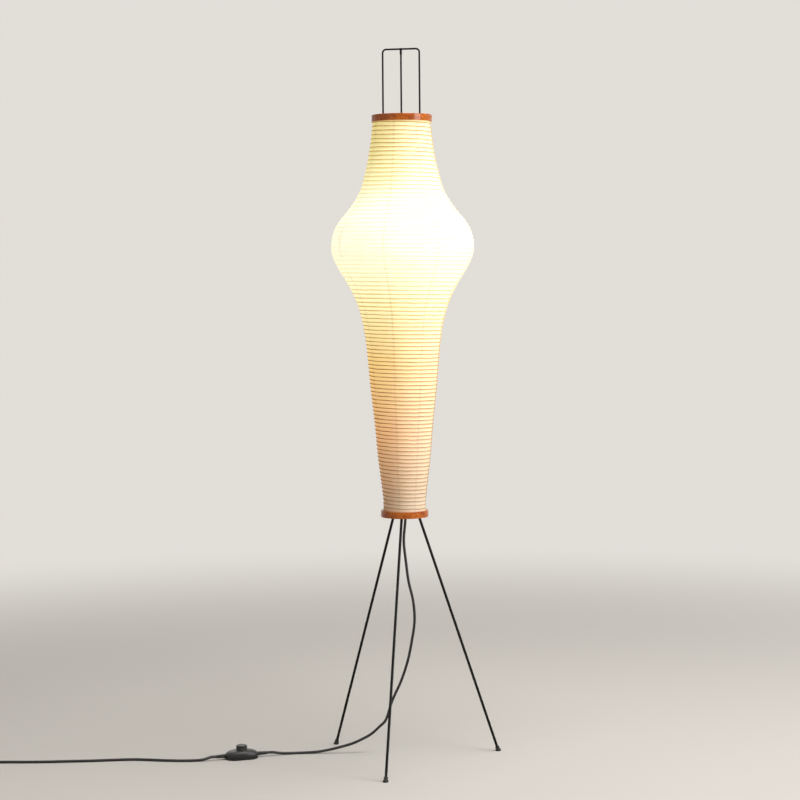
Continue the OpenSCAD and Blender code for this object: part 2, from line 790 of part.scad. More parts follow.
// The centre contact and the ring that grips the bulb's cap
module lampholder_contacts() {
    grip_r = cap_r + fit;
    grip_wall = 0.6;
    grip_h = contact_h + tip_h + insulator_h + cap_l - 5;
    color(brass) translate([0, lamp_y, insert_z + insert_h]) {
        cylinder(h = contact_h, r = contact_r);
        difference() {
            cylinder(h = grip_h, r = grip_r + grip_wall);
            translate([0, 0, -1]) cylinder(h = grip_h + 2, r = grip_r);
        }
    }
}

// The bulb's screw cap, with the round thread drawn as rings
module bulb_cap() {
    ridges = 5;
    pitch = 3.6;
    half = thread_depth / 2;
    lip_r = cap_r - 0.2;
    color(steel) translate([0, lamp_y, cap_z]) rotate_extrude($fn = ROUND_FN) polygon(concat(
        [[neck_outer_r, 0], [cap_r - thread_depth, 0]],
        [for (i = [0:6 * ridges]) [cap_r - half + half * sin(60 * i - 90), 1 + pitch * i / 6]],
        [[lip_r, cap_l], [lip_r - cap_wall, cap_l], [neck_outer_r, 1 + pitch * ridges]]
    ));
}

module bulb_tip() {
    round_r = 2;
    round_h = 0.8;
    color(black) translate([0, lamp_y, tip_z]) rotate_extrude() polygon([
        [0, 0], [round_r, 0], [contact_r, round_h], [contact_r, tip_h],
        [neck_outer_r - fit, tip_h + insulator_h], [0, tip_h + insulator_h]
    ]);
}

// The glass mount with its two wires and the filament
module bulb_filament() {
    mount_z = cap_z + fit;
    flare_h = 16;
    wire_h = 22;
    wire_z = ball_z - wire_h;
    wire_x = 2;
    wire_d = 0.8;
    coil_d = 1.2;
    span = 12;
    fan = [for (s = [-1, 1]) [s * span, lamp_y, ball_z]];
    color(steel) {
        translate([0, lamp_y, mount_z]) cylinder(h = flare_h, r1 = neck_outer_r - fit, r2 = mount_r);
        translate([0, lamp_y, mount_z + flare_h])
            cylinder(h = wire_z + mount_r - mount_z - flare_h, r = mount_r);
        for (end = fan) rod([sign(end[0]) * wire_x, lamp_y, wire_z], end, wire_d);
        rod(fan[0], fan[1], coil_d);
    }
}

// Frosted glass: a ball that runs down into a neck inside the cap
module bulb_glass() {
    joint = 20;
    joint_r = sqrt(bulb_r * bulb_r - joint * joint);
    neck_sink = 6;
    neck = [cap_z + cap_l - neck_sink, neck_outer_r - fit, 0.02];
    neck_end = [ball_z - joint, joint_r, joint / joint_r];
    steps = 12;
    turns = 24;
    arc = acos(-joint / bulb_r);
    color("#f7f2e6") translate([0, lamp_y, 0]) rotate_extrude($fn = ROUND_FN) polygon(concat(
        [for (i = [0:steps]) let(z = neck[0] + (neck_end[0] - neck[0]) * i / steps)
            [cubic(neck, neck_end, z), z]],
        [for (i = [1:turns]) let(a = arc * (1 - i / turns)) [bulb_r * sin(a), ball_z + bulb_r * cos(a)]],
        [for (i = [turns:-1:1]) let(a = arc * (1 - i / turns))
            [(bulb_r - glass_t) * sin(a), ball_z + (bulb_r - glass_t) * cos(a)]],
        [for (i = [steps:-1:0]) let(z = neck[0] + (neck_end[0] - neck[0]) * i / steps)
            [cubic(neck, neck_end, z) - glass_t, z]]
    ));
}

grip_spigot_d = 8.4;

// The grip under the hub, through which the cord leaves the lamp
module cord_grip() {
    spigot_h = 12;
    flange_out = 6.5;
    top_out = 5;
    tip_out = 4;
    bore = cord_r + bore_fit;
    color(black) translate([0, cord_y, grip_z]) rotate_extrude() polygon([
        [bore, spigot_h], [grip_spigot_d / 2, spigot_h], [grip_spigot_d / 2, 0], [flange_out, 0],
        [flange_out, -grip_flange], [top_out, -grip_flange], [tip_out, -grip_l], [bore, -grip_l]
    ]);
}

// The held stretch of the cord, from the grip up the stem into the lampholder
module cord_inner() {
    steps = 12;
    color(black) tube(
        concat(
            [[0, cord_y, exit_z]],
            [for (i = [0:steps]) [
                0, cord_y + (lamp_y - cord_y) * ease(i / steps), sway_z + sway_h * i / steps
            ]],
            [[0, lamp_y, cord_top_z]]
        ),
        cord_r, cord_sides, [1, 0, 0]
    );
}

// Clips that hold the cord to the stem
module cord_clips() {
    stem_wall = 1.5;
    cord_wall = 1;
    web = 3;
    color(black) for (z = clip_z) translate([0, 0, z]) difference() {
        union() {
            cylinder(h = clip_h, d = stem_d + 2 * stem_wall);
            translate([0, cord_y, 0]) cylinder(h = clip_h, d = cord_d + 2 * cord_wall);
            translate([-web / 2, 0, 0]) cube([web, cord_y, clip_h]);
        }
        translate([0, 0, -1]) cylinder(h = clip_h + 2, d = stem_d + 2 * bore_fit);
        translate([0, cord_y, -1]) cylinder(h = clip_h + 2, d = cord_d + 2 * bore_fit);
    }
}

// The free cord from the grip to the switch
drop_route = concat(
    [[0, cord_y, exit_z], [0, cord_y, exit_z - exit_straight]],
    drop_points,
    [switch_end(1, relief_reach + relief_straight), switch_end(1, relief_reach)]
);

module cord_drop() {
    color(black) tube(curve(drop_route, 2), cord_r, cord_sides, [0, 1, 0]);
}

// The free cord from the switch to the coil
lead_route = concat(
    [switch_end(-1, relief_reach), switch_end(-1, relief_reach + relief_straight)],
    lead_points,
    [
        [
            lead_end[0] - lead_straight * cos(coil_heading), lead_end[1] - lead_straight * sin(coil_heading),
            coil_low_z
        ],
        [lead_end[0], lead_end[1], coil_low_z]
    ]
);

module cord_lead() {
    color(black) tube(curve(lead_route, 2), cord_r, cord_sides, [0, 0, 1]);
}

// The stored length: one unbroken spiral that winds in on the floor and out again on top
coil_route = concat(
    [[lead_end[0], lead_end[1], coil_low_z]],
    [for (i = [0:coil_rings * coil_turns]) coil_point(i / coil_rings)],
    [plug_at]
);

// The least gap of a wound form to itself, measured on its points half a turn or more apart
function least_gap(p, apart, d) = min([for (i = [0:len(p) - 1 - apart]) for (j = [i + apart:len(p) - 1])
    norm(p[i] - p[j])]) - d;
echo(coil_least_gap = least_gap(coil_route, coil_rings / 2, cord_d));

module cord_coil() {
    color(black) tube(coil_route, cord_r, coil_sides, [0, 0, 1]);
}

// A flat tie around the coil's turns
module coil_tie() {
    azimuth = coil_heading + 180;
    near_r = coil_turn_r(coil_turn_back + 0.25) - cord_r;
    drift = coil_step * tie_w / (4 * PI * near_r);
    inner = sqrt(near_r * near_r - tie_w * tie_w / 4) - drift - tie_play;
    outer = coil_turn_r(coil_turns - 0.5) + cord_r + tie_play;
    top = coil_high_z + cord_r + tie_play;
    translate([coil_centre[0], coil_centre[1], 0]) rotate([0, 0, azimuth]) color(black) difference() {
        translate([inner - tie_t, -tie_w / 2, 0]) cube([outer - inner + 2 * tie_t, tie_w, top + tie_t]);
        translate([inner, -tie_w, tie_t]) cube([outer - inner, 2 * tie_w, top - tie_t]);
    }
}

// Places its children in the switch's own frame: length along X, floor at 0
module at_switch() {
    translate([switch_at[0], switch_at[1], 0]) rotate([0, 0, switch_turn]) children();
}

// A flat shape with round ends
module stadium(l, w, h) {
    translate([-(l - w) / 2, -w / 2, 0]) cube([l - w, w, h]);
    for (s = [-1, 1]) translate([s * (l - w) / 2, 0, 0]) cylinder(h = h, d = w);
}

// The cover's body: upright sides below and a slope up to a smaller flat top
module cover_body(inset, top) {
    w = switch_w - 2 * inset;
    rim = side_h - inset / 2;
    half = (switch_l - switch_w) / 2;
    in = w / 2 - cover_slope;
    drop = inset * sqrt(1 + roof_slope * roof_slope);
    end = switch_l / 2;
    end_z = cover_end_h - drop;
    flat = roof_half + (switch_h - drop - top) / roof_slope;
    intersection() {
        union() {
            translate([0, 0, base_t]) stadium(switch_l - 2 * inset, w, rim - base_t);
            translate([0, 0, rim]) {
                for (s = [-1, 1]) translate([s * half, 0, 0]) cylinder(h = top - rim, r1 = w / 2, r2 = in);
                translate([-half, 0, 0]) rotate([90, 0, 90]) linear_extrude(2 * half)
                    polygon([[-w / 2, 0], [w / 2, 0], [in, top - rim], [-in, top - rim]]);
            }
        }
        translate([0, switch_w, 0]) rotate([90, 0, 0]) linear_extrude(2 * switch_w)
            polygon([[-end, 0], [end, 0], [end, end_z], [flat, top], [-flat, top], [-end, end_z]]);
    }
}

module switch_base() {
    color(black) at_switch() difference() {
        stadium(switch_l, switch_w, base_t);
        for (p = screw_at) translate([p[0], p[1], -1]) {
            cylinder(h = base_t + 2, d = switch_screw_d + 2 * bore_fit);
            cylinder(h = 1 + screw_lift + switch_head_h + fit, d = switch_head_d + 2 * bore_fit);
        }
    }
}

module switch_cover() {
    ceiling = switch_h - cover_wall;
    boss_d = 6.4;
    boss_bore = 6;
    boss_skin = 0.4;
    boss_top = switch_h - roof_slope * (screw_at[0][0] + boss_d / 2 - roof_half) - boss_skin;
    port_r = relief_r + fit;
    color(black) at_switch() difference() {
        union() {
            difference() {
                cover_body(0, switch_h);
                cover_body(cover_wall, ceiling);
            }
            for (p = screw_at) translate([p[0], p[1], base_t]) cylinder(h = boss_top - base_t, d = boss_d);
        }
        translate([0, 0, base_t + 1]) cylinder(h = switch_h, r = button_r + fit);
        for (p = screw_at) translate([p[0], p[1], base_t - 1])
            cylinder(h = boss_bore + 1, d = switch_screw_d + 2 * bore_fit);
        translate([-switch_l, 0, port_z]) rotate([0, 90, 0]) cylinder(h = 2 * switch_l, r = port_r);
        translate([-switch_l, -port_r, base_t - 1]) cube([2 * switch_l, 2 * port_r, port_z - base_t + 1]);
    }
}

// The push button: a round cap with a flange that the cover holds down
module switch_button() {
    e = button_edge;
    color(black) at_switch() rotate_extrude($fn = ROUND_FN) polygon([
        [0, flange_z], [flange_r, flange_z], [flange_r, flange_top], [button_r, flange_top],
        [button_r, button_top - e], [button_r - e * 0.3, button_top - e * 0.3], [button_r - e, button_top],
        [0, button_top]
    ]);
}

// The spring under the button
spring_z = base_t + fit;
spring_top = flange_z - fit;
spring_r = 5;
spring_d = 1;
spring_curls = 6;

spring_rings = 8;
spring_rise = (spring_top - spring_z - spring_d) / spring_curls;
spring_route = [for (i = [0:spring_rings * spring_curls]) let(a = 360 * i / spring_rings) [
    spring_r * cos(a), spring_r * sin(a), spring_z + spring_d / 2 + spring_rise * i / spring_rings
]];
echo(spring_least_gap = least_gap(spring_route, spring_rings / 2, spring_d));

module switch_spring() {
    color(steel) at_switch() tube(spring_route, spring_d / 2, coil_sides, [0, 0, 1]);
}

// Two terminal blocks beside the spring, low enough to clear the pressed button
module switch_contacts() {
    w = terminal_w;
    z = base_t + fit;
    color(brass) at_switch() for (s = [-1, 1]) translate([s * terminal_x - w / 2, -w / 2, z])
        cube([w, w, flange_z - button_travel - terminal_gap - z]);
}

module switch_screws() {
    screw_l = 8;
    color(steel) at_switch() for (p = screw_at) translate([p[0], p[1], screw_lift]) {
        cylinder(h = screw_l, d = switch_screw_d);
        cylinder(h = switch_head_h, d = switch_head_d);
    }
}

// The tapered sleeves on the cord at both ends of the switch
module switch_reliefs() {
    seat = switch_l / 2 - cover_wall - 2;
    color(black) at_switch() for (s = [0, 1]) rotate([0, 0, 180 * s]) translate([seat, 0, port_z])
        rotate([0, 90, 0]) rotate_extrude() polygon([
            [0, 0], [relief_r, 0], [relief_r, switch_l / 2 - seat + 2], [relief_tip_r, relief_reach - seat],
            [0, relief_reach - seat]
        ]);
}

// Places its children in the plug's own frame: +X from the cord towards the pins
module at_plug() {
    translate(plug_at) rotate([0, 0, plug_heading]) children();
}

module plug_relief() {
    color(black) at_plug() rotate([0, 90, 0]) rotate_extrude() polygon([
        [0, 0], [relief_tip_r, 0], [plug_relief_r, plug_relief_l], [0, plug_relief_l]
    ]);
}

module plug_body() {
    half = plug_w / 2;
    c = plug_corner;
    color(black) at_plug() difference() {
        translate([plug_nose, 0, -plug_t / 2]) linear_extrude(plug_t) polygon([
            [0, -plug_neck], [plug_l * plug_cheek, -half], [plug_l - c, -half], [plug_l, -half + c],
            [plug_l, half - c], [plug_l - c, half], [plug_l * plug_cheek, half], [0, plug_neck]
        ]);
        for (s = [-1, 1]) translate([plug_nose + plug_l - pin_seat, s * pin_spacing / 2, 0])
            rotate([0, 90, 0]) cylinder(h = 2 * pin_seat, d = pin_root_d + 2 * bore_fit);
    }
}

// Two round pins with tapered tips and thinner roots inside the body
module plug_pins() {
    root_l = pin_seat - fit;
    tip_l = 1;
    color(brass) at_plug() for (s = [-1, 1]) translate([plug_nose + plug_l, s * pin_spacing / 2, 0])
        rotate([0, 90, 0]) {
            translate([0, 0, -root_l]) cylinder(h = root_l, d = pin_root_d);
            cylinder(h = pin_l - tip_l, d = pin_d);
            translate([0, 0, pin_l - tip_l]) cylinder(h = tip_l, d1 = pin_d, d2 = pin_d - 2 * tip_l);
        }
}

top_hoop();
bottom_hoop();
upper_gore_1();
upper_gore_2();
upper_gore_3();
upper_gore_4();
upper_gore_5();
upper_gore_6();
upper_gore_7();
upper_gore_8();
shade_paper_lower();
shade_ribs_upper();
shade_ribs_lower();
bail();
stem();
stem_fork();
hub();
leg_screws();
neck_screw();
leg_front();
leg_right();
leg_left();
foot_front();
foot_right();
foot_left();
spreader();
lamp_bracket();
bracket_screw();
nipple();
nipple_nut();
lampholder_dome();
lampholder_shell();
lampholder_insert();
lampholder_contacts();
bulb_cap();
bulb_tip();
bulb_filament();
bulb_glass();
cord_grip();
cord_inner();
cord_clips();
cord_drop();
switch_base();
switch_cover();
switch_button();
switch_spring();
switch_contacts();
switch_screws();
switch_reliefs();
cord_lead();
cord_coil();
coil_tie();
plug_relief();
plug_body();
plug_pins();
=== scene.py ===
"""Looks for a paper lantern floor lamp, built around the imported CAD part.

The scene is in metres, +Z up. Named sizes and tables are in millimetres, and MM turns them into metres.
"""

import json
import math

import bpy
from mathutils import Matrix, Vector, noise


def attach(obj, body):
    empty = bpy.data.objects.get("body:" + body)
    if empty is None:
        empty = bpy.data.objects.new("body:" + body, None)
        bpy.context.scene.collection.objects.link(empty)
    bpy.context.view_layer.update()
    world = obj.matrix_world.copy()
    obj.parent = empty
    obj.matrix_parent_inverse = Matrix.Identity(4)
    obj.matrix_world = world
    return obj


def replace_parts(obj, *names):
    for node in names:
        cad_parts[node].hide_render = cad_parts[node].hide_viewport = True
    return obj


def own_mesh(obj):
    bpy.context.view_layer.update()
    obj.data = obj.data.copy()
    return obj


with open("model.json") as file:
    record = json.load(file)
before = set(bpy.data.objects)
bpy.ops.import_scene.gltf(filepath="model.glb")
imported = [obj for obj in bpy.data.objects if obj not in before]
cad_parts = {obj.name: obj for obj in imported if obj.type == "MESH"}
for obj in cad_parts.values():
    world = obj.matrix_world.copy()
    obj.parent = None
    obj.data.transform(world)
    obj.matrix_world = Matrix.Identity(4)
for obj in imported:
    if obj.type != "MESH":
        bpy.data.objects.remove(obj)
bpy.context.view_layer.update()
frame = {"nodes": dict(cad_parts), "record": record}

MM = 0.001
STAND, BUTTON = "stand", "foot_button"
nodes = frame["nodes"]


# ---------------------------------------------------------------------------------------------
# Camera: its place in metres, its angles in degrees, its focal length and shift in pixels

CAMERA_AT = (0.9501, -4.4759, 1.080)
CAMERA_YAW, CAMERA_PITCH, CAMERA_ROLL = 12.07, 1.35, 0.48
CAMERA_PIXELS = 2075.3
FRAME_PIXELS = 800
SHIFT_PIXELS = -80
SENSOR = 36


def add_camera():
    lens = bpy.data.cameras.new("camera")
    lens.sensor_width = SENSOR
    lens.lens = CAMERA_PIXELS / FRAME_PIXELS * SENSOR
    lens.shift_y = SHIFT_PIXELS / FRAME_PIXELS
    camera = bpy.data.objects.new("camera", lens)
    bpy.context.scene.collection.objects.link(camera)
    camera.location = CAMERA_AT
    yaw = Matrix.Rotation(math.radians(CAMERA_YAW), 4, "Z")
    pitch = Matrix.Rotation(math.radians(90 - CAMERA_PITCH), 4, "X")
    roll = Matrix.Rotation(math.radians(-CAMERA_ROLL), 4, "Z")
    camera.rotation_euler = (yaw @ pitch @ roll).to_euler()
    bpy.context.scene.camera = camera


add_camera()


# ---------------------------------------------------------------------------------------------
# Shapes, as points and faces

# Sides of a small turned form, and steps round a rounded corner
SIDES = 48
CORNER_STEPS = 8


def clamp(x):
    return max(0.0, min(1.0, x))


def smooth_step(x):
    return x * x * (3 - 2 * x)


def loft(rings, caps=(True, True), endless=False):
    """A skin over rings with equal counts of points. Endless joins the last ring to the first."""
    count = len(rings[0])
    points = [p for ring in rings for p in ring]
    faces = []
    for j in range(len(rings) if endless else len(rings) - 1):
        start, after = j * count, (j + 1) % len(rings) * count
        for i in range(count):
            k = (i + 1) % count
            faces.append((start + i, start + k, after + k, after + i))
    if endless:
        return points, faces
    if caps[0]:
        faces.append(tuple(range(count - 1, -1, -1)))
    if caps[1]:
        last = (len(rings) - 1) * count
        faces.append(tuple(range(last, last + count)))
    return points, faces


def circle(r, z, sides):
    """A level ring about the Z axis."""
    turns = [math.tau * i / sides for i in range(sides)]
    return [Vector((r * math.cos(turn), r * math.sin(turn), z)) * MM for turn in turns]


def lathe(profile):
    """A turned form about +Z from (radius, height) pairs, closed at both ends."""
    return loft([circle(r, z, SIDES) for r, z in profile])


def rounded_box(width, height, corner):
    """The outline of a rounded rectangle about the origin, as pairs."""
    ring = []
    for across, rise, start in ((1, 1, 0), (-1, 1, 90), (-1, -1, 180), (1, -1, 270)):
        for i in range(CORNER_STEPS + 1):
            turn = math.radians(start + 90 * i / CORNER_STEPS)
            x = across * (width / 2 - corner) + corner * math.cos(turn)
            y = rise * (height / 2 - corner) + corner * math.sin(turn)
            ring.append((x, y))
    return ring


def tube(path, radius, sides, up=Vector((0, 0, 1))):
    """A round tube along a path in metres, closed at both ends."""
    turns = [math.tau * k / sides for k in range(sides)]
    rings = []
    for i, p in enumerate(path):
        along = (path[min(i + 1, len(path) - 1)] - path[max(i - 1, 0)]).normalized()
        side = along.cross(up).normalized()
        rise = side.cross(along)
        rings.append([p + radius * MM * (math.cos(t) * side + math.sin(t) * rise) for t in turns])
    return loft(rings)


def moved(shape, matrix):
    points, faces = shape
    return [matrix @ Vector(p) for p in points], faces


def merge(shapes):
    points, faces = [], []
    for some, those in shapes:
        start = len(points)
        points += list(some)
        faces += [tuple(start + i for i in face) for face in those]
    return points, faces


# ---------------------------------------------------------------------------------------------
# Materials


def rgb(red, green, blue):
    """A colour given as it looks on a screen, from 0 to 255, as the linear one that shaders take."""
    return tuple(
        c / 12.92 if c <= 0.04045 else ((c + 0.055) / 1.055) ** 2.4
        for c in (red / 255, green / 255, blue / 255)
    ) + (1,)


class Paint:
    """A procedural material: a Principled shader and the nodes that feed it."""

    def __init__(self, name, colour, roughness, **plain):
        self.material = bpy.data.materials.new(name)
        self.material.use_nodes = True
        self.tree = self.material.node_tree
        self.shader = self.tree.nodes["Principled BSDF"]
        self.place = self.node("TexCoord").outputs["Object"]
        self.normal = None
        self.put("Base Color", colour)
        self.put("Roughness", roughness)
        for key, value in plain.items():
            self.put(key.replace("_", " "), value)

    def node(self, kind, inputs=(), **settings):
        made = self.tree.nodes.new("ShaderNode" + kind)
        for key, value in settings.items():
            setattr(made, key, value)
        for key, value in dict(inputs).items():
            self.join(value, made.inputs[key])
        return made

    def join(self, value, socket):
        if isinstance(value, bpy.types.NodeSocket):
            self.tree.links.new(value, socket)
        else:
            socket.default_value = value

    def put(self, name, value):
        self.join(value, self.shader.inputs[name])

    def calc(self, operation, *values):
        return self.node("Math", dict(enumerate(values)), operation=operation).outputs[0]

    def share(self, value, low, high, **settings):
        """How far a value has come from low to high, from 0 to 1."""
        return self.node("MapRange", {0: value, 1: low, 2: high, 3: 0.0, 4: 1.0}, **settings).outputs[0]

    def axes(self):
        """X, Y and Z of the place."""
        return self.node("SeparateXYZ", {0: self.place}).outputs

    def reach(self, x, y):
        """Distance from the Z axis."""
        squares = self.calc("ADD", self.calc("MULTIPLY", x, x), self.calc("MULTIPLY", y, y))
        return self.calc("SQRT", squares)

    def stretched(self, x, y, z, vector=None):
        """Coordinates scaled by x, y and z."""
        inputs = {"Vector": self.place if vector is None else vector, "Scale": (x, y, z)}
        return self.node("Mapping", inputs, vector_type="POINT").outputs[0]

    def around(self, along, upward):
        """Coordinates that follow a hoop: turn and height, each scaled, and radius."""
        x, y, z = self.axes()
        turn = self.calc("MULTIPLY", self.calc("ARCTAN2", y, x), along)
        height = self.calc("MULTIPLY", z, upward)
        return self.node("CombineXYZ", {0: turn, 1: height, 2: self.reach(x, y)}).outputs[0]

    def noise(self, scale, detail=3.0, roughness=0.5, vector=None):
        inputs = {
            "Vector": self.place if vector is None else vector,
            "Scale": scale,
            "Detail": detail,
            "Roughness": roughness,
        }
        return self.node("TexNoise", inputs).outputs[0]

    def ramp(self, value, *stops):
        """Colours or greys along a value. Each stop is (place, colour or grey)."""
        made = self.node("ValToRGB", {0: value})
        marks = made.color_ramp.elements
        while len(marks) < len(stops):
            marks.new(0.5)
        for mark, (place, colour) in zip(marks, stops):
            mark.position = place
            mark.color = colour if isinstance(colour, tuple) else (colour, colour, colour, 1)
        return made.outputs[0]

    def mix(self, share, first, second, blend="MIX"):
        made = self.node("Mix", data_type="RGBA", blend_type=blend)
        for key, value in (("Factor_Float", share), ("A_Color", first), ("B_Color", second)):
            socket = next(s for s in made.inputs if s.identifier == key)
            self.join(value, socket)
        return next(s for s in made.outputs if s.identifier == "Result_Color")

    def bump(self, height, distance):
        """Adds a bump on top of those before it; distance is in metres."""
        inputs = {"Height": height, "Distance": distance, "Strength": 1.0}
        if self.normal is not None:
            inputs["Normal"] = self.normal
        self.normal = self.node("Bump", inputs).outputs[0]
        self.put("Normal", self.normal)


def lacquered_wood():
    """Bentwood: long streaks of grain round the hoop, under a deep clear lacquer."""
    lacquer = {"Coat_Weight": 0.6, "Coat_Roughness": 0.08, "Coat_IOR": 1.45, "Specular_IOR_Level": 0.12}
    paint = Paint("lacquered_wood", rgb(178, 80, 16), 0.38, **lacquer)
    place = paint.around(0.06, 1.6)
    grain = paint.noise(120, 6, 0.62, paint.stretched(1, 1, 0.4, place))
    broad = paint.noise(16, vector=paint.stretched(1.5, 1, 1, place))
    streaks = paint.ramp(
        grain,
        (0.3, rgb(108, 36, 2)),
        (0.46, rgb(164, 72, 4)),
        (0.6, rgb(210, 112, 14)),
        (0.75, rgb(146, 56, 3)),
    )
    tone = paint.ramp(broad, (0.3, rgb(150, 58, 3)), (0.7, rgb(216, 120, 16)))
    paint.put("Base Color", paint.mix(0.45, streaks, tone))
    paint.put("Roughness", paint.ramp(grain, (0.3, 0.45), (0.7, 0.3)))
    paint.bump(grain, 0.00006)
    return paint.material


def black_enamel():
    """Enamel on drawn wire: glossy, with faint long unevenness."""
    paint = Paint("black_enamel", rgb(13, 12, 12), 0.3, Specular_IOR_Level=0.17)
    flow = paint.noise(60, 2, vector=paint.stretched(1, 1, 0.3))
    paint.put("Base Color", paint.ramp(flow, (0.3, rgb(8, 8, 8)), (0.7, rgb(15, 14, 13))))
    paint.put("Roughness", paint.ramp(flow, (0.3, 0.24), (0.7, 0.34)))
    paint.bump(flow, 0.00003)
    return paint.material


def metal(name, colour, dark, roughness):
    """Bare metal with dull stains and fine scratches."""
    paint = Paint(name, colour, roughness, Metallic=1.0)
    fine = paint.noise(1400, 2)
    stain = paint.ramp(paint.noise(160, 4), (0.4, 0.0), (0.75, 0.55))
    paint.put("Base Color", paint.mix(stain, colour, dark))
    paint.put("Roughness", paint.ramp(fine, (0.25, roughness * 0.7), (0.75, roughness * 1.4)))
    paint.bump(fine, 0.00002)
    return paint.material


def plastic(name, colour, worn, roughness, grain, depth, coat=0.0):
    """Moulded plastic: a pebbled skin, greyer where it is worn."""
    paint = Paint(name, colour, roughness, Coat_Weight=coat, Coat_Roughness=0.12)
    pebbles = paint.node("TexVoronoi", {"Vector": paint.place, "Scale": grain}).outputs["Distance"]
    wear = paint.noise(60, 5, 0.6)
    paint.put("Base Color", paint.mix(paint.ramp(wear, (0.45, 0.0), (0.8, 0.5)), colour, worn))
    paint.put("Roughness", paint.ramp(wear, (0.3, roughness * 0.85), (0.75, roughness * 1.3)))
    paint.bump(pebbles, depth)
    return paint.material


def cord_jacket():
    """Black vinyl with a little dust."""
    paint = Paint("cord_jacket", rgb(19, 18, 18), 0.42)
    dust = paint.noise(70, 4, 0.6)
    paint.put("Base Color", paint.ramp(dust, (0.35, rgb(15, 14, 14)), (0.75, rgb(32, 30, 29))))
    paint.put("Roughness", paint.ramp(dust, (0.3, 0.36), (0.75, 0.56)))
    paint.bump(paint.noise(2200, 2), 0.00003)
    return paint.material


def rubber():
    """Dull black rubber with a fine tooth."""
    paint = Paint("black_rubber", rgb(24, 23, 23), 0.68)
    fine = paint.noise(1800)
    dust = paint.noise(90, 4)
    paint.put("Base Color", paint.ramp(dust, (0.35, rgb(20, 19, 19)), (0.8, rgb(40, 38, 37))))
    paint.put("Roughness", paint.ramp(fine, (0.3, 0.58), (0.7, 0.8)))
    paint.bump(fine, 0.00005)
    return paint.material


def bamboo():
    """Split bamboo with fibres along the strip."""
    paint = Paint("bamboo", rgb(182, 146, 92), 0.5)
    fibre = paint.noise(420, 4, 0.6, paint.stretched(0.4, 1, 1, paint.around(0.1, 1.0)))
    tones = ((0.3, rgb(140, 102, 56)), (0.55, rgb(186, 150, 96)), (0.75, rgb(208, 176, 122)))
    paint.put("Base Color", paint.ramp(fibre, *tones))
    paint.bump(fibre, 0.00008)
    return paint.material


def ceramic():
    """Unglazed porcelain with faint specks."""
    paint = Paint("ceramic", rgb(226, 222, 212), 0.55)
    speckle = paint.noise(700)
    paint.put("Base Color", paint.ramp(speckle, (0.28, rgb(196, 190, 178)), (0.5, rgb(230, 226, 217))))
    paint.bump(speckle, 0.00004)
    return paint.material


# Heights between which the bulb's glass shines, in metres
GLASS_LOW, GLASS_TOP = 1.105, 1.185


def lit_glass():
    """Inside-frosted glass of a lit bulb, brightest at the filament's height."""
    paint = Paint("lit_glass", rgb(236, 230, 216), 0.35, Emission_Strength=1.0)
    z = paint.axes()[2]
    shine = paint.ramp(
        paint.share(z, GLASS_LOW, GLASS_TOP),
        (0.0, rgb(222, 176, 112)),
        (0.35, rgb(248, 226, 178)),
        (0.62, rgb(252, 244, 222)),
        (1.0, rgb(246, 226, 186)),
    )
    paint.put("Emission Color", shine)
    paint.put("Roughness", paint.ramp(paint.noise(500), (0.3, 0.3), (0.7, 0.42)))
    paint.bump(paint.noise(900, 2), 0.00002)
    return paint.material


# The bulb's light through the paper, painted on as the paper's glow, at heights in metres from the lower
# rim to the upper one: between ribs, and over one, where the rib's shadow is painted darker
GLOW = (
    (0.538, (92, 44, 10), (26, 8, 0)),
    (0.593, (128, 70, 20), (34, 12, 0)),
    (0.726, (202, 134, 62), (58, 24, 2)),
    (0.88, (224, 180, 88), (108, 66, 16)),
    (1.013, (232, 224, 164), (192, 160, 80)),
    (1.08, (238, 235, 194), (234, 228, 180)),
    (1.146, (239, 237, 208), (243, 240, 212)),
    (1.23, (235, 232, 198), (240, 236, 200)),
    (1.28, (227, 220, 160), (208, 188, 118)),
    (1.345, (214, 200, 120), (152, 124, 52)),
    (1.423, (202, 182, 104), (132, 100, 38)),
)
GORES = 8
# Where one of the seams between gores lies, and the reach in metres over which it fades
SEAM_TURN = math.radians(267)
SEAM_FADE = 0.004


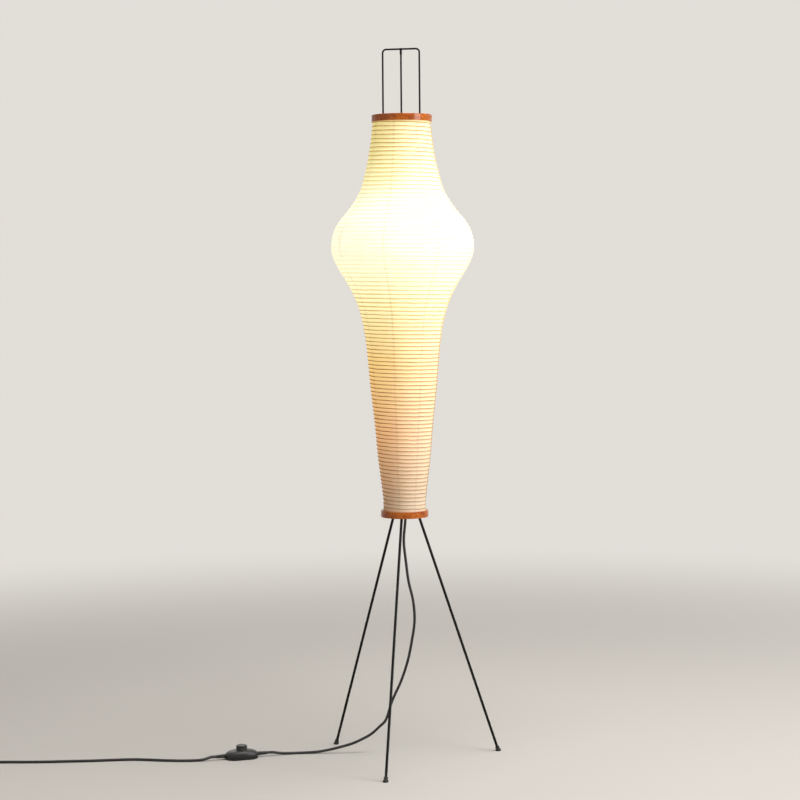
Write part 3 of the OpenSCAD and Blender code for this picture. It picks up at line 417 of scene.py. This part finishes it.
def shade_paper(name, over_rib):
    """Washi with a lamp behind it, whose light through the paper is painted on as glow. Where it lies over
    a rib it lets less light through: a painted rib shadow.
    """
    paint = Paint(name, rgb(240, 232, 212), 0.78, Specular_IOR_Level=0.2, Emission_Strength=1.0)
    x, y, z = paint.axes()
    low, high = GLOW[0][0], GLOW[-1][0]
    stops = [
        ((height - low) / (high - low), rgb(*(rib if over_rib else between)))
        for height, between, rib in GLOW
    ]
    # The painted glow of the bulb's light, changing with height
    glow = paint.ramp(paint.share(z, low, high), *stops)
    # Clouds are where the pulp lies thicker, and long fibres lie level and upright in the sheet
    cloud = paint.noise(38, 5, 0.6)
    level = paint.noise(260, 4, 0.7, paint.stretched(0.18, 0.18, 1))
    upright = paint.noise(240, 4, 0.7, paint.stretched(1, 1, 0.16))
    threads = paint.calc(
        "MAXIMUM",
        paint.ramp(level, (0.6, 0.0), (0.68, 1.0)),
        paint.ramp(upright, (0.61, 0.0), (0.69, 1.0)),
    )
    # Where two gores overlap the paper is double. The turn is counted in gores from a seam
    turn = paint.calc("SUBTRACT", paint.calc("ARCTAN2", y, x), SEAM_TURN - math.tau)
    past = paint.calc("FRACT", paint.calc("ADD", paint.calc("MULTIPLY", turn, GORES / math.tau), 0.5))
    off = paint.calc("ABSOLUTE", paint.calc("SUBTRACT", past, 0.5))
    off_seam = paint.calc("MULTIPLY", paint.calc("MULTIPLY", off, math.tau / GORES), paint.reach(x, y))
    seam = paint.ramp(paint.share(off_seam, 0.0, SEAM_FADE), (0.4, 1.0), (0.6, 0.0))
    # How much of the light each of them holds back
    clouded = paint.calc("MULTIPLY", paint.ramp(cloud, (0.3, 0.0), (0.7, 1.0)), 0.09)
    threaded = paint.calc("MULTIPLY", threads, 0.07)
    doubled = paint.calc("MULTIPLY", seam, 0.2)
    thick = paint.calc("ADD", clouded, paint.calc("ADD", threaded, doubled))
    shown = paint.calc("SUBTRACT", 1.0, thick)
    grey = paint.node("CombineColor", {0: shown, 1: shown, 2: shown}).outputs[0]
    base = rgb(198, 164, 116) if over_rib else rgb(224, 215, 194)
    deep = rgb(178, 142, 92) if over_rib else rgb(210, 195, 167)
    paint.put("Base Color", paint.mix(paint.calc("MULTIPLY", thick, 1.2), base, deep))
    paint.put("Emission Color", paint.mix(1.0, glow, grey, "MULTIPLY"))
    paint.bump(cloud, 0.0004)
    paint.bump(threads, 0.00012)
    return paint.material


PAPER_ON_RIB = shade_paper("washi_over_rib", True)

# The finish of each of the record's material slots
FINISHES = {
    "lacquered_wood": lacquered_wood(),
    "rib": bamboo(),
    "paper": shade_paper("washi", False),
    "black_steel": black_enamel(),
    "screw_steel": metal("zinc_steel", rgb(168, 170, 172), rgb(112, 112, 110), 0.34),
    "black_rubber": rubber(),
    "brass": metal("brass", rgb(206, 172, 104), rgb(140, 108, 56), 0.3),
    "black_thermoset": plastic(
        "holder_plastic", rgb(17, 16, 16), rgb(38, 36, 34), 0.28, grain=1400, depth=0.00002, coat=0.3
    ),
    "ceramic": ceramic(),
    "bulb_cap": metal("bulb_cap", rgb(196, 196, 194), rgb(140, 140, 138), 0.32),
    "frosted_glass": lit_glass(),
    "cord": cord_jacket(),
    "switch_plastic": plastic(
        "switch_plastic", rgb(18, 18, 18), rgb(36, 35, 34), 0.36, grain=1700, depth=0.00005
    ),
}
for subpart in frame["record"]["subparts"]:
    for place in nodes[subpart["node"]].material_slots:
        place.material = FINISHES[subpart["material_slot"]]


def add_piece(name, shape, slot, *stands_for, body=STAND, sharp=None):
    """A mesh that rides on a body and stands for CAD nodes. Edges sharper than an angle stay sharp."""
    points, faces = shape
    mesh = bpy.data.meshes.new(name)
    mesh.from_pydata([tuple(p) for p in points], [], faces)
    mesh.validate()
    mesh.update()
    mesh.shade_smooth()
    if sharp is not None:
        mesh.set_sharp_from_angle(angle=math.radians(sharp))
    mesh.materials.append(FINISHES[slot])
    piece = bpy.data.objects.new(name, mesh)
    bpy.context.scene.collection.objects.link(piece)
    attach(piece, body)
    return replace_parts(piece, *stands_for)


# ---------------------------------------------------------------------------------------------
# Cord: the drop to the foot switch, then the lead with its stored coil and the plug

CORD_R = 3
# Steps of the curve from one point of a route to the next
CURVE_STEPS = 6


def smooth_curve(route):
    """Points in metres on a smooth curve through the route."""
    p = [Vector(q) * MM for q in route]
    p = [2 * p[0] - p[1], *p, 2 * p[-1] - p[-2]]
    found = []
    for i in range(1, len(p) - 2):
        a, b, c, d = p[i - 1 : i + 3]
        for s in range(CURVE_STEPS):
            t = s / CURVE_STEPS
            bend = (2 * a - 5 * b + 4 * c - d) * t * t + (3 * b - a - 3 * c + d) * t ** 3
            found.append(0.5 * (2 * b + (c - a) * t + bend))
    return found + [p[-2]]


def add_cord(name, path, *stands_for):
    """A round cord as a curve of one open spline."""
    data = bpy.data.curves.new(name, "CURVE")
    data.dimensions = "3D"
    data.bevel_depth = CORD_R * MM
    data.bevel_resolution = 5
    data.use_fill_caps = True
    spline = data.splines.new("POLY")
    spline.points.add(len(path) - 1)
    for place, p in zip(spline.points, path):
        place.co = (*p, 1)
    spline.use_smooth = True
    data.materials.append(FINISHES["cord"])
    piece = bpy.data.objects.new(name, data)
    bpy.context.scene.collection.objects.link(piece)
    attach(piece, STAND)
    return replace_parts(piece, *stands_for)


def ahead(point, degrees, reach):
    """The place on the floor that lies a reach away in a heading."""
    turn = math.radians(degrees)
    return (point[0] + reach * math.cos(turn), point[1] + reach * math.sin(turn))


# The foot switch stands where these say. The cord enters its reliefs straight at both ends
SWITCH_AT = (-362, -62)
SWITCH_TURN = 30
PORT_Z = 8
RELIEF_REACH = 57
RELIEF_STRAIGHT = 13


def switch_end(side, reach):
    """A point on the cord's line through the switch: side is 1 towards the lamp and -1 away."""
    return (*ahead(SWITCH_AT, SWITCH_TURN, side * reach), PORT_Z)


EXIT = (0, 12, 559.7)
DROP = [
    EXIT, (0, 12, 544.7),
    (-2, 12, 520), (-5, 11, 481), (-1, 13, 436), (4, 16, 392), (13, 21, 347), (15, 25, 302),
    (8, 27, 257), (-2, 29, 212), (-18, 31, 166), (-39, 31, 120), (-53, 32, 79), (-69, 32, 61),
    (-91, 31, 42), (-126, 27, 24), (-154, 23, 15), (-183, 17, 8), (-211, 9, 4), (-245, -1, 3),
    (-278, -15, 4),
    switch_end(1, RELIEF_REACH + RELIEF_STRAIGHT), switch_end(1, RELIEF_REACH),
]
COIL_HEADING = 192
LEAD_END = (-931, -214)
LEAD_STRAIGHT = 10
COIL_LOW, COIL_HIGH = 3.55, 10.0
LEAD = [
    switch_end(-1, RELIEF_REACH), switch_end(-1, RELIEF_REACH + RELIEF_STRAIGHT),
    (-439, -107, 4), (-471, -117, 3), (-516, -123, 3), (-556, -124, 3), (-594, -127, 3),
    (-635, -139, 3), (-678, -154, 3), (-723, -167, 3), (-769, -180, 3), (-818, -191, 3),
    (-867, -200, 3), (-902, -208, 3),
    (*ahead(LEAD_END, COIL_HEADING, -LEAD_STRAIGHT), COIL_LOW), (*LEAD_END, COIL_LOW),
]

# The coil: its turns run inwards on the floor, then outwards on top of those
COIL_R, COIL_STEP, COIL_TURNS, COIL_BACK = 24.8, 6.6, 5.25, 2.5
COIL_STRAIGHT = 6
COIL_STEPS = 48


def coil_radius(turn):
    return COIL_R + COIL_STEP * abs(turn - COIL_BACK)


COIL_AT = ahead(ahead(LEAD_END, COIL_HEADING, COIL_STRAIGHT), COIL_HEADING - 90, coil_radius(0))


def coil_point(turn):
    """A point on the coil. Half a turn about its smallest one climbs onto the upper layer."""
    climbed = smooth_step(clamp(2 * (turn - COIL_BACK) + 0.5))
    z = COIL_LOW + (COIL_HIGH - COIL_LOW) * climbed
    return (*ahead(COIL_AT, COIL_HEADING + 90 - 360 * turn, coil_radius(turn)), z)


PLUG_HEADING = COIL_HEADING - 360 * COIL_TURNS
PLUG_AT = (*ahead(coil_point(COIL_TURNS), PLUG_HEADING, COIL_STRAIGHT), COIL_HIGH)
coil = [coil_point(i / COIL_STEPS) for i in range(round(COIL_STEPS * COIL_TURNS) + 1)] + [PLUG_AT]

drop_path = smooth_curve(DROP)
lead_path = smooth_curve(LEAD) + [Vector(p) * MM for p in coil]
cord_drop = add_cord("floor_cord_drop", drop_path, "cord_drop")
cord_lead = add_cord("floor_cord_lead", lead_path, "cord_lead", "cord_coil")

# The cord held inside the lamp: from the grip up beside the stem, then out and up to the lampholder
CORD_Y, LAMP_Y = 12, 36
HELD_HEIGHTS = (650, 750, 850, 930)
SWAY_LOW, SWAY_H, SWAY_STEPS = 962, 60, 24
HOLDER_LOW = 1053.3


def held_point(share):
    y = CORD_Y + (LAMP_Y - CORD_Y) * smooth_step(share)
    return (0, y, SWAY_LOW + SWAY_H * share)


held_route = [(0, CORD_Y, z) for z in (EXIT[2], *HELD_HEIGHTS)]
held_route += [held_point(i / SWAY_STEPS) for i in range(SWAY_STEPS + 1)] + [(0, LAMP_Y, HOLDER_LOW)]
held_path = [Vector(p) * MM for p in held_route]
add_piece("held_cord", tube(held_path, CORD_R, 20, Vector((1, 0, 0))), "cord", "cord_inner")


# ---------------------------------------------------------------------------------------------
# Shade: one spiral of bamboo under folded paper

PAPER_LOW, PAPER_TOP, SEAM_Z = 548.5, 1412.0, 1000.0
# The lower edge is straight this far up, so that it still fits in the hoop when the shade is folded
GLUED = 16.5
# Height, radius and slope of the radius
OUTLINE = (
    (PAPER_LOW, 46.8, 0),
    (PAPER_LOW + GLUED, 46.8, 0.08),
    (700, 61.5, 0.07),
    (850, 76.4, 0.085),
    (970, 90.8, 0.22),
    (1060, 126.9, 0.61),
    (1133, 158.2, 0),
    (1200, 132, -0.89),
    (1275, 87.5, -0.28),
    (PAPER_TOP, 64.3, -0.07),
)
LOWER_PITCHES, UPPER_PITCHES = 53, 45
ALL_PITCHES = LOWER_PITCHES + UPPER_PITCHES
LOWER_PITCH = (SEAM_Z - PAPER_LOW) / LOWER_PITCHES
UPPER_PITCH = (PAPER_TOP - SEAM_Z) / UPPER_PITCHES
# The folds: their depth, and how far from a hoop they take to reach it
FOLD, FOLD_FADE = 1.7, 9
# Columns of the paper's mesh round the shade
COLUMNS = 144
# Rows of the paper from one crest to the next, as shares of a pitch. The first and last lie over the rib
CREST = (0.0, 0.13, 0.31, 0.5, 0.69, 0.87)
# How much of the ribs' unevenness the radius takes
UNEVEN = 0.3


def outline_radius(z):
    """The paper's radius at a height: a cubic between two stations of the outline."""
    for (z0, r0, s0), (z1, r1, s1) in zip(OUTLINE, OUTLINE[1:]):
        if z <= z1 or z1 == PAPER_TOP:
            h = z1 - z0
            t = (z - z0) / h
            return (
                (2 * t ** 3 - 3 * t * t + 1) * r0
                + (t ** 3 - 2 * t * t + t) * h * s0
                + (3 * t * t - 2 * t ** 3) * r1
                + (t ** 3 - t * t) * h * s1
            )


def height_at(turn):
    """Height after a number of the spiral's turns, counted from the lower edge."""
    if turn < LOWER_PITCHES:
        return PAPER_LOW + LOWER_PITCH * turn
    return SEAM_Z + UPPER_PITCH * (turn - LOWER_PITCHES)


def wobble(azimuth, turn):
    """The hand-made unevenness of a rib: a small change of radius and of height."""
    c, s = math.cos(azimuth), math.sin(azimuth)
    slow = noise.noise(Vector((2 * c, 2 * s, 0.35 * turn)))
    quick = noise.noise(Vector((5 * c + 40, 5 * s, 1.7 * turn)))
    return 0.3 * slow + 0.25 * quick, 0.45 * slow + 0.5 * quick


def shade_skin(low_turn, high_turn, low_z, high_z):
    """The folded paper between two heights. Its rows follow the spiral, so each crest is one edge."""
    rows = len(CREST)
    points, faces, over_rib, index = [], [], [], {}

    def point(column, row):
        """The number and the height of the point where a column meets a row."""
        row += rows * (column // COLUMNS)
        column %= COLUMNS
        if (column, row) not in index:
            azimuth = math.tau * column / COLUMNS
            whole, part = divmod(row, rows)
            turn = low_turn + whole + CREST[part] - column / COLUMNS
            out, up = wobble(azimuth, turn)
            z = height_at(turn) + up
            clamped = max(low_z, min(high_z, z))
            # The folds fade out in the hoops, where the paper is glued flat
            hold = clamp((z - PAPER_LOW - GLUED) / FOLD_FADE) * clamp((PAPER_TOP - z) / FOLD_FADE)
            depth = FOLD * 4 * CREST[part] * (1 - CREST[part])
            r = outline_radius(clamped) + hold * (UNEVEN * out - depth)
            index[column, row] = (len(points), clamped)
            points.append(Vector((r * math.cos(azimuth), r * math.sin(azimuth), clamped)) * MM)
        return index[column, row]

    for row in range(-rows, rows * (high_turn - low_turn + 2)):
        for column in range(COLUMNS):
            lower = [point(column, row), point(column + 1, row)]
            upper = [point(column + 1, row + 1), point(column, row + 1)]
            heights = [z for _, z in lower + upper]
            # Past the ends the rows are clamped, and a face of no height is left out
            if max(heights) - min(heights) < 1e-9:
                continue
            if row % rows in (0, rows - 1):
                over_rib.append(len(faces))
            faces.append(tuple(i for i, _ in lower + upper))
    return points, faces, over_rib


def add_paper(name, stands_for, *reach):
    """The paper between two of the spiral's turns, and between two heights."""
    points, faces, over_rib = shade_skin(*reach)
    piece = add_piece(name, (points, faces), "paper", *stands_for)
    piece.data.materials.append(PAPER_ON_RIB)
    for i in over_rib:
        piece.data.polygons[i].material_index = 1
    return piece


# The bamboo strip's section, as (depth, rise) from the middle of its outer face
RIB_SECTION = ((0, -0.9), (0, 0.9), (1.1, 0.7), (1.1, -0.7))
RIB_STEPS = 72
# The strip stays this far from the ends of its stretch, and this deep under the paper's crest
RIB_END, RIB_UNDER = 1.4, 0.75


def add_rib(name, stands_for, low_turn, high_turn, low_z, high_z):
    """The split-bamboo spiral inside the crests, as one flat strip."""
    rings = []
    for i in range(RIB_STEPS * (high_turn - low_turn) + 1):
        turn = low_turn + i / RIB_STEPS
        azimuth = -math.tau * turn
        out, up = wobble(azimuth % math.tau, turn)
        z = height_at(turn) + up
        if not low_z + RIB_END <= z <= high_z - RIB_END:
            continue
        # Its upper and lower corners clear the paper, which slopes away from the crest
        slope = abs(outline_radius(z + 1) - outline_radius(z - 1)) / 2 + 2 * FOLD / LOWER_PITCH
        r = outline_radius(z) + UNEVEN * out - RIB_UNDER - RIB_SECTION[1][1] * slope
        c, s = math.cos(azimuth), math.sin(azimuth)
        section = [((r - deep) * c, (r - deep) * s, z + rise) for deep, rise in RIB_SECTION]
        rings.append([Vector(p) * MM for p in section])
    return add_piece(name, loft(rings), "rib", stands_for, sharp=40)


UPPER_REACH = (LOWER_PITCHES, ALL_PITCHES, SEAM_Z, PAPER_TOP)
LOWER_REACH = (0, LOWER_PITCHES, PAPER_LOW, SEAM_Z)
add_paper("lantern_paper_upper", [f"upper_gore_{i + 1}" for i in range(GORES)], *UPPER_REACH)
add_rib("rib_spiral_upper", "shade_ribs_upper", *UPPER_REACH)
lower_paper = add_paper("lantern_paper_lower", ["shade_paper_lower"], *LOWER_REACH)
lower_rib = add_rib("rib_spiral_lower", "shade_ribs_lower", *LOWER_REACH)

# The lower half's paper and rib get meshes of their own
for piece in (lower_paper, lower_rib):
    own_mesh(piece)


# ---------------------------------------------------------------------------------------------
# Foot switch

SWITCH = Matrix.Translation((SWITCH_AT[0] * MM, SWITCH_AT[1] * MM, 0)) @ Matrix.Rotation(
    math.radians(SWITCH_TURN), 4, "Z"
)
SWITCH_SIDES = 96
# The cover has straight sides of twice this half length, and round ends
COVER_HALF, COVER_R = 15, 22
SIDE_Z, COVER_TOP, COLLAR_R = 11, 20, 14.4
DOME_STEPS = 12


def stadium(r, z):
    """A flat ring with straight sides and round ends."""
    ring = []
    for i in range(SWITCH_SIDES):
        turn = math.tau * i / SWITCH_SIDES
        c, s = math.cos(turn), math.sin(turn)
        # Points are spread so that the straight sides get their share
        x = math.copysign(COVER_HALF * min(1.0, abs(c) * 1.6), c)
        ring.append(Vector((x + r * c, r * s, z)) * MM)
    return ring


def dome_ring(u):
    """A ring on the dome: u is 0 at the upright side and 1 at the collar."""
    # A steep shoulder, then an even slope with a slight swell
    rise = 0.42 * (1 - (1 - u) ** 6) + 0.58 * u
    rise = min(1.0, rise + 0.06 * math.sin(math.pi * u))
    up = Vector((0, 0, SIDE_Z + (COVER_TOP - SIDE_Z) * rise)) * MM
    pairs = zip(stadium(COVER_R, 0), circle(COLLAR_R, 0, SWITCH_SIDES))
    return [p.lerp(q, u) + up for p, q in pairs]


def switch_housing():
    """The cover: a rounded lower rim, upright sides, a dome up to the round collar, and its inside."""
    rim = [stadium(r, z) for r, z in ((21.4, 3), (21.8, 3.2), (COVER_R, 3.8), (COVER_R, 8))]
    dome = [dome_ring(i / DOME_STEPS) for i in range(DOME_STEPS + 1)]
    inside = ((13.6, COVER_TOP), (12.9, 19.9), (12.5, 19.4), (12.4, 17.6))
    return loft(rim + dome + [circle(r, z, SWITCH_SIDES) for r, z in inside], caps=(True, False))


FLUTES = 36
# Radius, height and depth of the flutes: a flange, a fluted side and a dished top
KNOB = (
    (13.8, 15.2, 0), (13.8, 17.2, 0), (12, 17.25, 0), (12, 20.6, 0), (12, 21.2, 0.5),
    (12, 27.4, 0.5), (11.9, 28.2, 0.3), (11.5, 29.1, 0), (10.8, 29.7, 0), (9.8, 30, 0),
    (8.8, 29.85, 0), (7.8, 29.5, 0), (5, 29.2, 0), (1.2, 29.1, 0),
)


def fluted(r, z, depth):
    """A level ring whose radius dips once in each flute."""
    ring = []
    for i in range(FLUTES * 4):
        turn = math.tau * i / (FLUTES * 4)
        cut = r - depth * (0.5 - 0.5 * math.cos(FLUTES * turn))
        ring.append(Vector((cut * math.cos(turn), cut * math.sin(turn), z)) * MM)
    return ring


SPRING_LOW, SPRING_TOP, SPRING_R, SPRING_WIRE = 3.3, 14.9, 5, 0.5
CURLS, CURL_STEPS = 6, 24


def coil_spring():
    """The round wire spring under the button. SPRING_WIRE is the wire's radius."""
    path = []
    for i in range(CURLS * CURL_STEPS + 1):
        turn = math.tau * i / CURL_STEPS
        rise = (SPRING_TOP - SPRING_LOW - 2 * SPRING_WIRE) * i / (CURLS * CURL_STEPS)
        z = SPRING_LOW + SPRING_WIRE + rise
        path.append(Vector((SPRING_R * math.cos(turn), SPRING_R * math.sin(turn), z)) * MM)
    return tube(path, SPRING_WIRE, 8)


cover_shape = moved(switch_housing(), SWITCH)
knob_shape = moved(loft([fluted(*ring) for ring in KNOB]), SWITCH)
spring_shape = moved(coil_spring(), SWITCH)
cover = add_piece("switch_housing", cover_shape, "switch_plastic", "switch_cover", sharp=50)
button = add_piece("switch_knob", knob_shape, "switch_plastic", "switch_button", body=BUTTON, sharp=38)
spring = add_piece("switch_coil_spring", spring_shape, "screw_steel", "switch_spring")
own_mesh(spring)


# ---------------------------------------------------------------------------------------------
# Strain reliefs and the grip: tapered sleeves with grooves

ALONG_X = Matrix.Rotation(math.radians(90), 4, "Y")
SLEEVE_BORE = 2.8
# The rounding of the rim at the first end and at the last
RIM, LAST_RIM = 0.4, 0.3
# A groove's depth, how far each of its walls leans, and half its width as a share of the pitch
GROOVE, GROOVE_LEAN, GROOVE_SHARE = 0.5, 0.1, 0.2


def sleeve(start, end, first, last, grooves):
    """A tapered sleeve about +Z from start to end, with rounded rims and square grooves."""
    def at(z):
        return first + (last - first) * (z - start) / (end - start)

    profile = [(SLEEVE_BORE, start), (first - RIM, start), (first, start + RIM)]
    pitch = (end - start) / (grooves + 1)
    for i in range(1, grooves + 1):
        low, high = start + pitch * (i - GROOVE_SHARE), start + pitch * (i + GROOVE_SHARE)
        profile += [(at(low), low), (at(low) - GROOVE, low + GROOVE_LEAN)]
        profile += [(at(high) - GROOVE, high - GROOVE_LEAN), (at(high), high)]
    profile += [(last, end - RIM), (last - LAST_RIM, end), (SLEEVE_BORE, end)]
    return lathe(profile)


# The switch's sleeves start this far from its middle, inside the housing
SEAT = 32.5


def switch_relief(degrees):
    """One of the sleeves at the switch's two ports."""
    turn = Matrix.Rotation(math.radians(degrees), 4, "Z")
    port = Matrix.Translation((0, 0, PORT_Z * MM))
    return moved(sleeve(SEAT, RELIEF_REACH, 4.7, 3.6, 5), SWITCH @ turn @ port @ ALONG_X)


both_reliefs = merge([switch_relief(0), switch_relief(180)])
reliefs = add_piece("switch_strain_reliefs", both_reliefs, "black_rubber", "switch_reliefs", sharp=35)

# Radius and height from the grip's lower end: a shank in the hub, a flange and four grooves below it
GRIP = (
    (3.05, 40), (4.2, 40), (4.2, 28), (6.2, 28), (6.5, 27.7), (6.5, 25.3), (6.2, 25), (5, 25),
    (4.95, 22), (4.5, 21.6), (4.5, 20.4), (4.85, 20), (4.75, 17), (4.3, 16.6), (4.3, 15.4), (4.65, 15),
    (4.55, 12), (4.1, 11.6), (4.1, 10.4), (4.4, 10), (4.3, 7), (3.95, 6.6), (3.95, 5.4), (4.2, 5),
    (4.1, 1), (3.8, 0), (3.05, 0),
)
grip_shape = moved(lathe(GRIP), Matrix.Translation(Vector(EXIT) * MM))
add_piece("hub_cord_grip", grip_shape, "black_rubber", "cord_grip", sharp=35)


# ---------------------------------------------------------------------------------------------
# Feet: a rounded base on the floor that turns into a sleeve on the leaning leg

# The legs' axes meet at the apex and reach the floor at FOOT_REACH. The base's middle is at FOOT_BASE
APEX_Z, FOOT_REACH, FOOT_BASE = 633, 217, 216.4
LEAN = math.atan(FOOT_REACH / APEX_Z)
# Height, radius, and how far the ring has turned from level to the leg's lean
FOOT = (
    (0, 5.3, 0), (0.2, 5.7, 0), (0.6, 6.0, 0), (3.1, 6.0, 0), (3.7, 5.8, 0), (4.0, 5.4, 0.1),
    (4.3, 5.0, 0.4), (4.9, 4.8, 0.8), (5.8, 4.75, 1), (9.5, 4.65, 1), (9.95, 4.45, 1),
    (10.1, 4.1, 1), (10.0, 3.1, 1), (8, 3.1, 1),
)


def foot_shape(azimuth):
    out = Vector((math.cos(azimuth), math.sin(azimuth), 0))
    rings = []
    for z, r, share in FOOT:
        reach = FOOT_BASE + ((APEX_Z - z) * math.tan(LEAN) - FOOT_BASE) * share
        tilt = Matrix.Rotation(azimuth, 3, "Z") @ Matrix.Rotation(-LEAN * share, 3, "Y")
        middle = (out * reach + Vector((0, 0, z))) * MM
        rings.append([middle + tilt @ p for p in circle(r, 0, SIDES)])
    return loft(rings)


for name, degrees in (("front", -90), ("right", 30), ("left", 150)):
    shape = foot_shape(math.radians(degrees))
    add_piece(f"rubber_foot_{name}", shape, "black_rubber", f"foot_{name}", sharp=50)


# ---------------------------------------------------------------------------------------------
# The strap round the coil: a thin band that follows a rounded rectangle

STRAP_NEAR, STRAP_FAR, STRAP_TOP = 22.3, 43.2, 13.55
STRAP_W, STRAP_T, STRAP_EDGE, STRAP_CORNER = 9, 0.5, 0.15, 3.2
STRAP = (
    Matrix.Translation((COIL_AT[0] * MM, COIL_AT[1] * MM, 0))
    @ Matrix.Rotation(math.radians(COIL_HEADING + 180), 4, "Z")
    @ Matrix.Translation(((STRAP_NEAR + STRAP_FAR) / 2 * MM, 0, STRAP_TOP / 2 * MM))
)


def strap_band():
    """The band's section, as (across, out), with its four edges cut off at 45 degrees."""
    w, t = STRAP_W / 2, STRAP_T / 2
    near, thin = w - STRAP_EDGE, t - STRAP_EDGE
    return ((-w, -thin), (-near, -t), (near, -t), (w, -thin), (w, thin), (near, t), (-near, t), (-w, thin))


def strap_shape():
    loop = rounded_box(STRAP_FAR - STRAP_NEAR - STRAP_T, STRAP_TOP - STRAP_T, STRAP_CORNER)
    rings = []
    for i, (x, z) in enumerate(loop):
        before, after = loop[i - 1], loop[(i + 1) % len(loop)]
        along = Vector((after[0] - before[0], after[1] - before[1])).normalized()
        rings.append([Vector((x + out * along.y, y, z - out * along.x)) * MM for y, out in strap_band()])
    return loft(rings, endless=True)


strap = add_piece("coil_strap", moved(strap_shape(), STRAP), "black_rubber", "coil_tie", sharp=60)


# ---------------------------------------------------------------------------------------------
# Plug

PLUG = Matrix.Translation(Vector(PLUG_AT) * MM) @ Matrix.Rotation(math.radians(PLUG_HEADING), 4, "Z")
PLUG_RELIEF = 26
# From the neck to the face: distance, width, height and corner radius
PLUG_SECTIONS = (
    (0.0, 12.0, 11.0, 5.2), (0.8, 13.6, 12.4, 5.8), (3.0, 16.5, 14.4, 6.4),
    (7.0, 24.0, 17.4, 6.6), (11.0, 31.6, 19.2, 6.4), (14.5, 35.4, 19.9, 6.0),
    (18.0, 36.0, 20.0, 5.6), (30.0, 36.0, 20.0, 5.2), (38.2, 36.0, 20.0, 5.0),
    (39.4, 35.4, 19.4, 4.7), (39.9, 34.2, 18.2, 4.2), (40.0, 33.0, 17.0, 3.8),
)


def plug_shape():
    rings = []
    for x, width, height, corner in PLUG_SECTIONS:
        outline = rounded_box(width, height, corner)
        rings.append([Vector((PLUG_RELIEF + x, y, z)) * MM for y, z in outline])
    return loft(rings)


relief_shape = moved(sleeve(0, PLUG_RELIEF, 3.6, 5.1, 6), PLUG @ ALONG_X)
relief = add_piece("plug_strain_relief", relief_shape, "black_rubber", "plug_relief", sharp=35)
plug = add_piece("mains_plug", moved(plug_shape(), PLUG), "switch_plastic", "plug_body", sharp=50)


# ---------------------------------------------------------------------------------------------
# Floor, backdrop and light, in metres

BACKDROP = rgb(226, 222, 216)
FLOOR_REACH = 40.0
# The floor turns into the backdrop between these distances from the lamp
FADE_NEAR, FADE_FAR = 1.25, 3.6


def camera_or_gloss(tree):
    """1 on rays that show the backdrop: seen straight, in gloss or through glass."""
    ray = tree.nodes.new("ShaderNodeLightPath")
    value = ray.outputs["Is Camera Ray"]
    for name in ("Is Glossy Ray", "Is Transmission Ray"):
        either = tree.nodes.new("ShaderNodeMath")
        either.operation = "MAXIMUM"
        tree.links.new(value, either.inputs[0])
        tree.links.new(ray.outputs[name], either.inputs[1])
        value = either.outputs[0]
    return value


def floor_finish():
    """A pale floor that turns into the backdrop far from the lamp."""
    paint = Paint("floor", rgb(214, 209, 202), 0.9, Specular_IOR_Level=0.1)
    far = paint.node("VectorMath", {0: paint.place}, operation="LENGTH").outputs["Value"]
    fade = paint.share(far, FADE_NEAR, FADE_FAR, interpolation_type="SMOOTHSTEP")
    share = paint.calc("MULTIPLY", fade, camera_or_gloss(paint.tree))
    glow = paint.node("Emission", {"Color": BACKDROP, "Strength": 1.0}).outputs[0]
    both = paint.node("MixShader", {0: share, 1: paint.shader.outputs[0], 2: glow})
    end = next(n for n in paint.tree.nodes if n.type == "OUTPUT_MATERIAL")
    paint.join(both.outputs[0], end.inputs["Surface"])
    return paint.material


def add_floor():
    corners = [(x * FLOOR_REACH, y * FLOOR_REACH, 0) for x, y in ((-1, -1), (1, -1), (1, 1), (-1, 1))]
    mesh = bpy.data.meshes.new("floor")
    mesh.from_pydata(corners, [], [(0, 1, 2, 3)])
    mesh.materials.append(floor_finish())
    floor = bpy.data.objects.new("floor", mesh)
    bpy.context.scene.collection.objects.link(floor)


def add_light(name, place, aim, size, power, colour):
    data = bpy.data.lights.new(name, "AREA")
    data.shape = "RECTANGLE"
    data.size, data.size_y = size
    data.energy = power
    data.color = colour
    light = bpy.data.objects.new(name, data)
    bpy.context.scene.collection.objects.link(light)
    light.location = place
    light.rotation_euler = (Vector(aim) - Vector(place)).to_track_quat("-Z", "Y").to_euler()


def add_sky():
    """A faint even light from all round, and the backdrop wherever a ray shows it."""
    world = bpy.data.worlds.new("studio")
    bpy.context.scene.world = world
    world.use_nodes = True
    tree = world.node_tree
    sky = tree.nodes["Background"]
    sky.inputs["Color"].default_value = (1.0, 0.985, 0.965, 1)
    sky.inputs["Strength"].default_value = 0.12
    seen = tree.nodes.new("ShaderNodeBackground")
    seen.inputs["Color"].default_value = BACKDROP
    seen.inputs["Strength"].default_value = 1.0
    blend = tree.nodes.new("ShaderNodeMixShader")
    tree.links.new(camera_or_gloss(tree), blend.inputs[0])
    tree.links.new(sky.outputs[0], blend.inputs[1])
    tree.links.new(seen.outputs[0], blend.inputs[2])
    tree.links.new(blend.outputs[0], tree.nodes["World Output"].inputs["Surface"])


add_floor()
add_light("key", (4.4, -1.2, 1.7), (0, 0, 0.95), (2.0, 2.4), 110, (0.93, 0.97, 1.0))
add_light("fill", (-2.2, -3.6, 1.9), (0, 0, 0.8), (2.0, 2.0), 4, (1.0, 0.98, 0.95))
add_light("rim", (-1.8, 3.2, 2.2), (0, 0, 0.8), (1.2, 2.0), 10, (1.0, 0.98, 0.96))
add_light("top", (1.3, -0.5, 4.0), (0.2, 0, 0), (3.2, 3.2), 156, (1.0, 0.99, 0.975))
add_sky()

bpy.context.scene.view_settings.view_transform = "Standard"
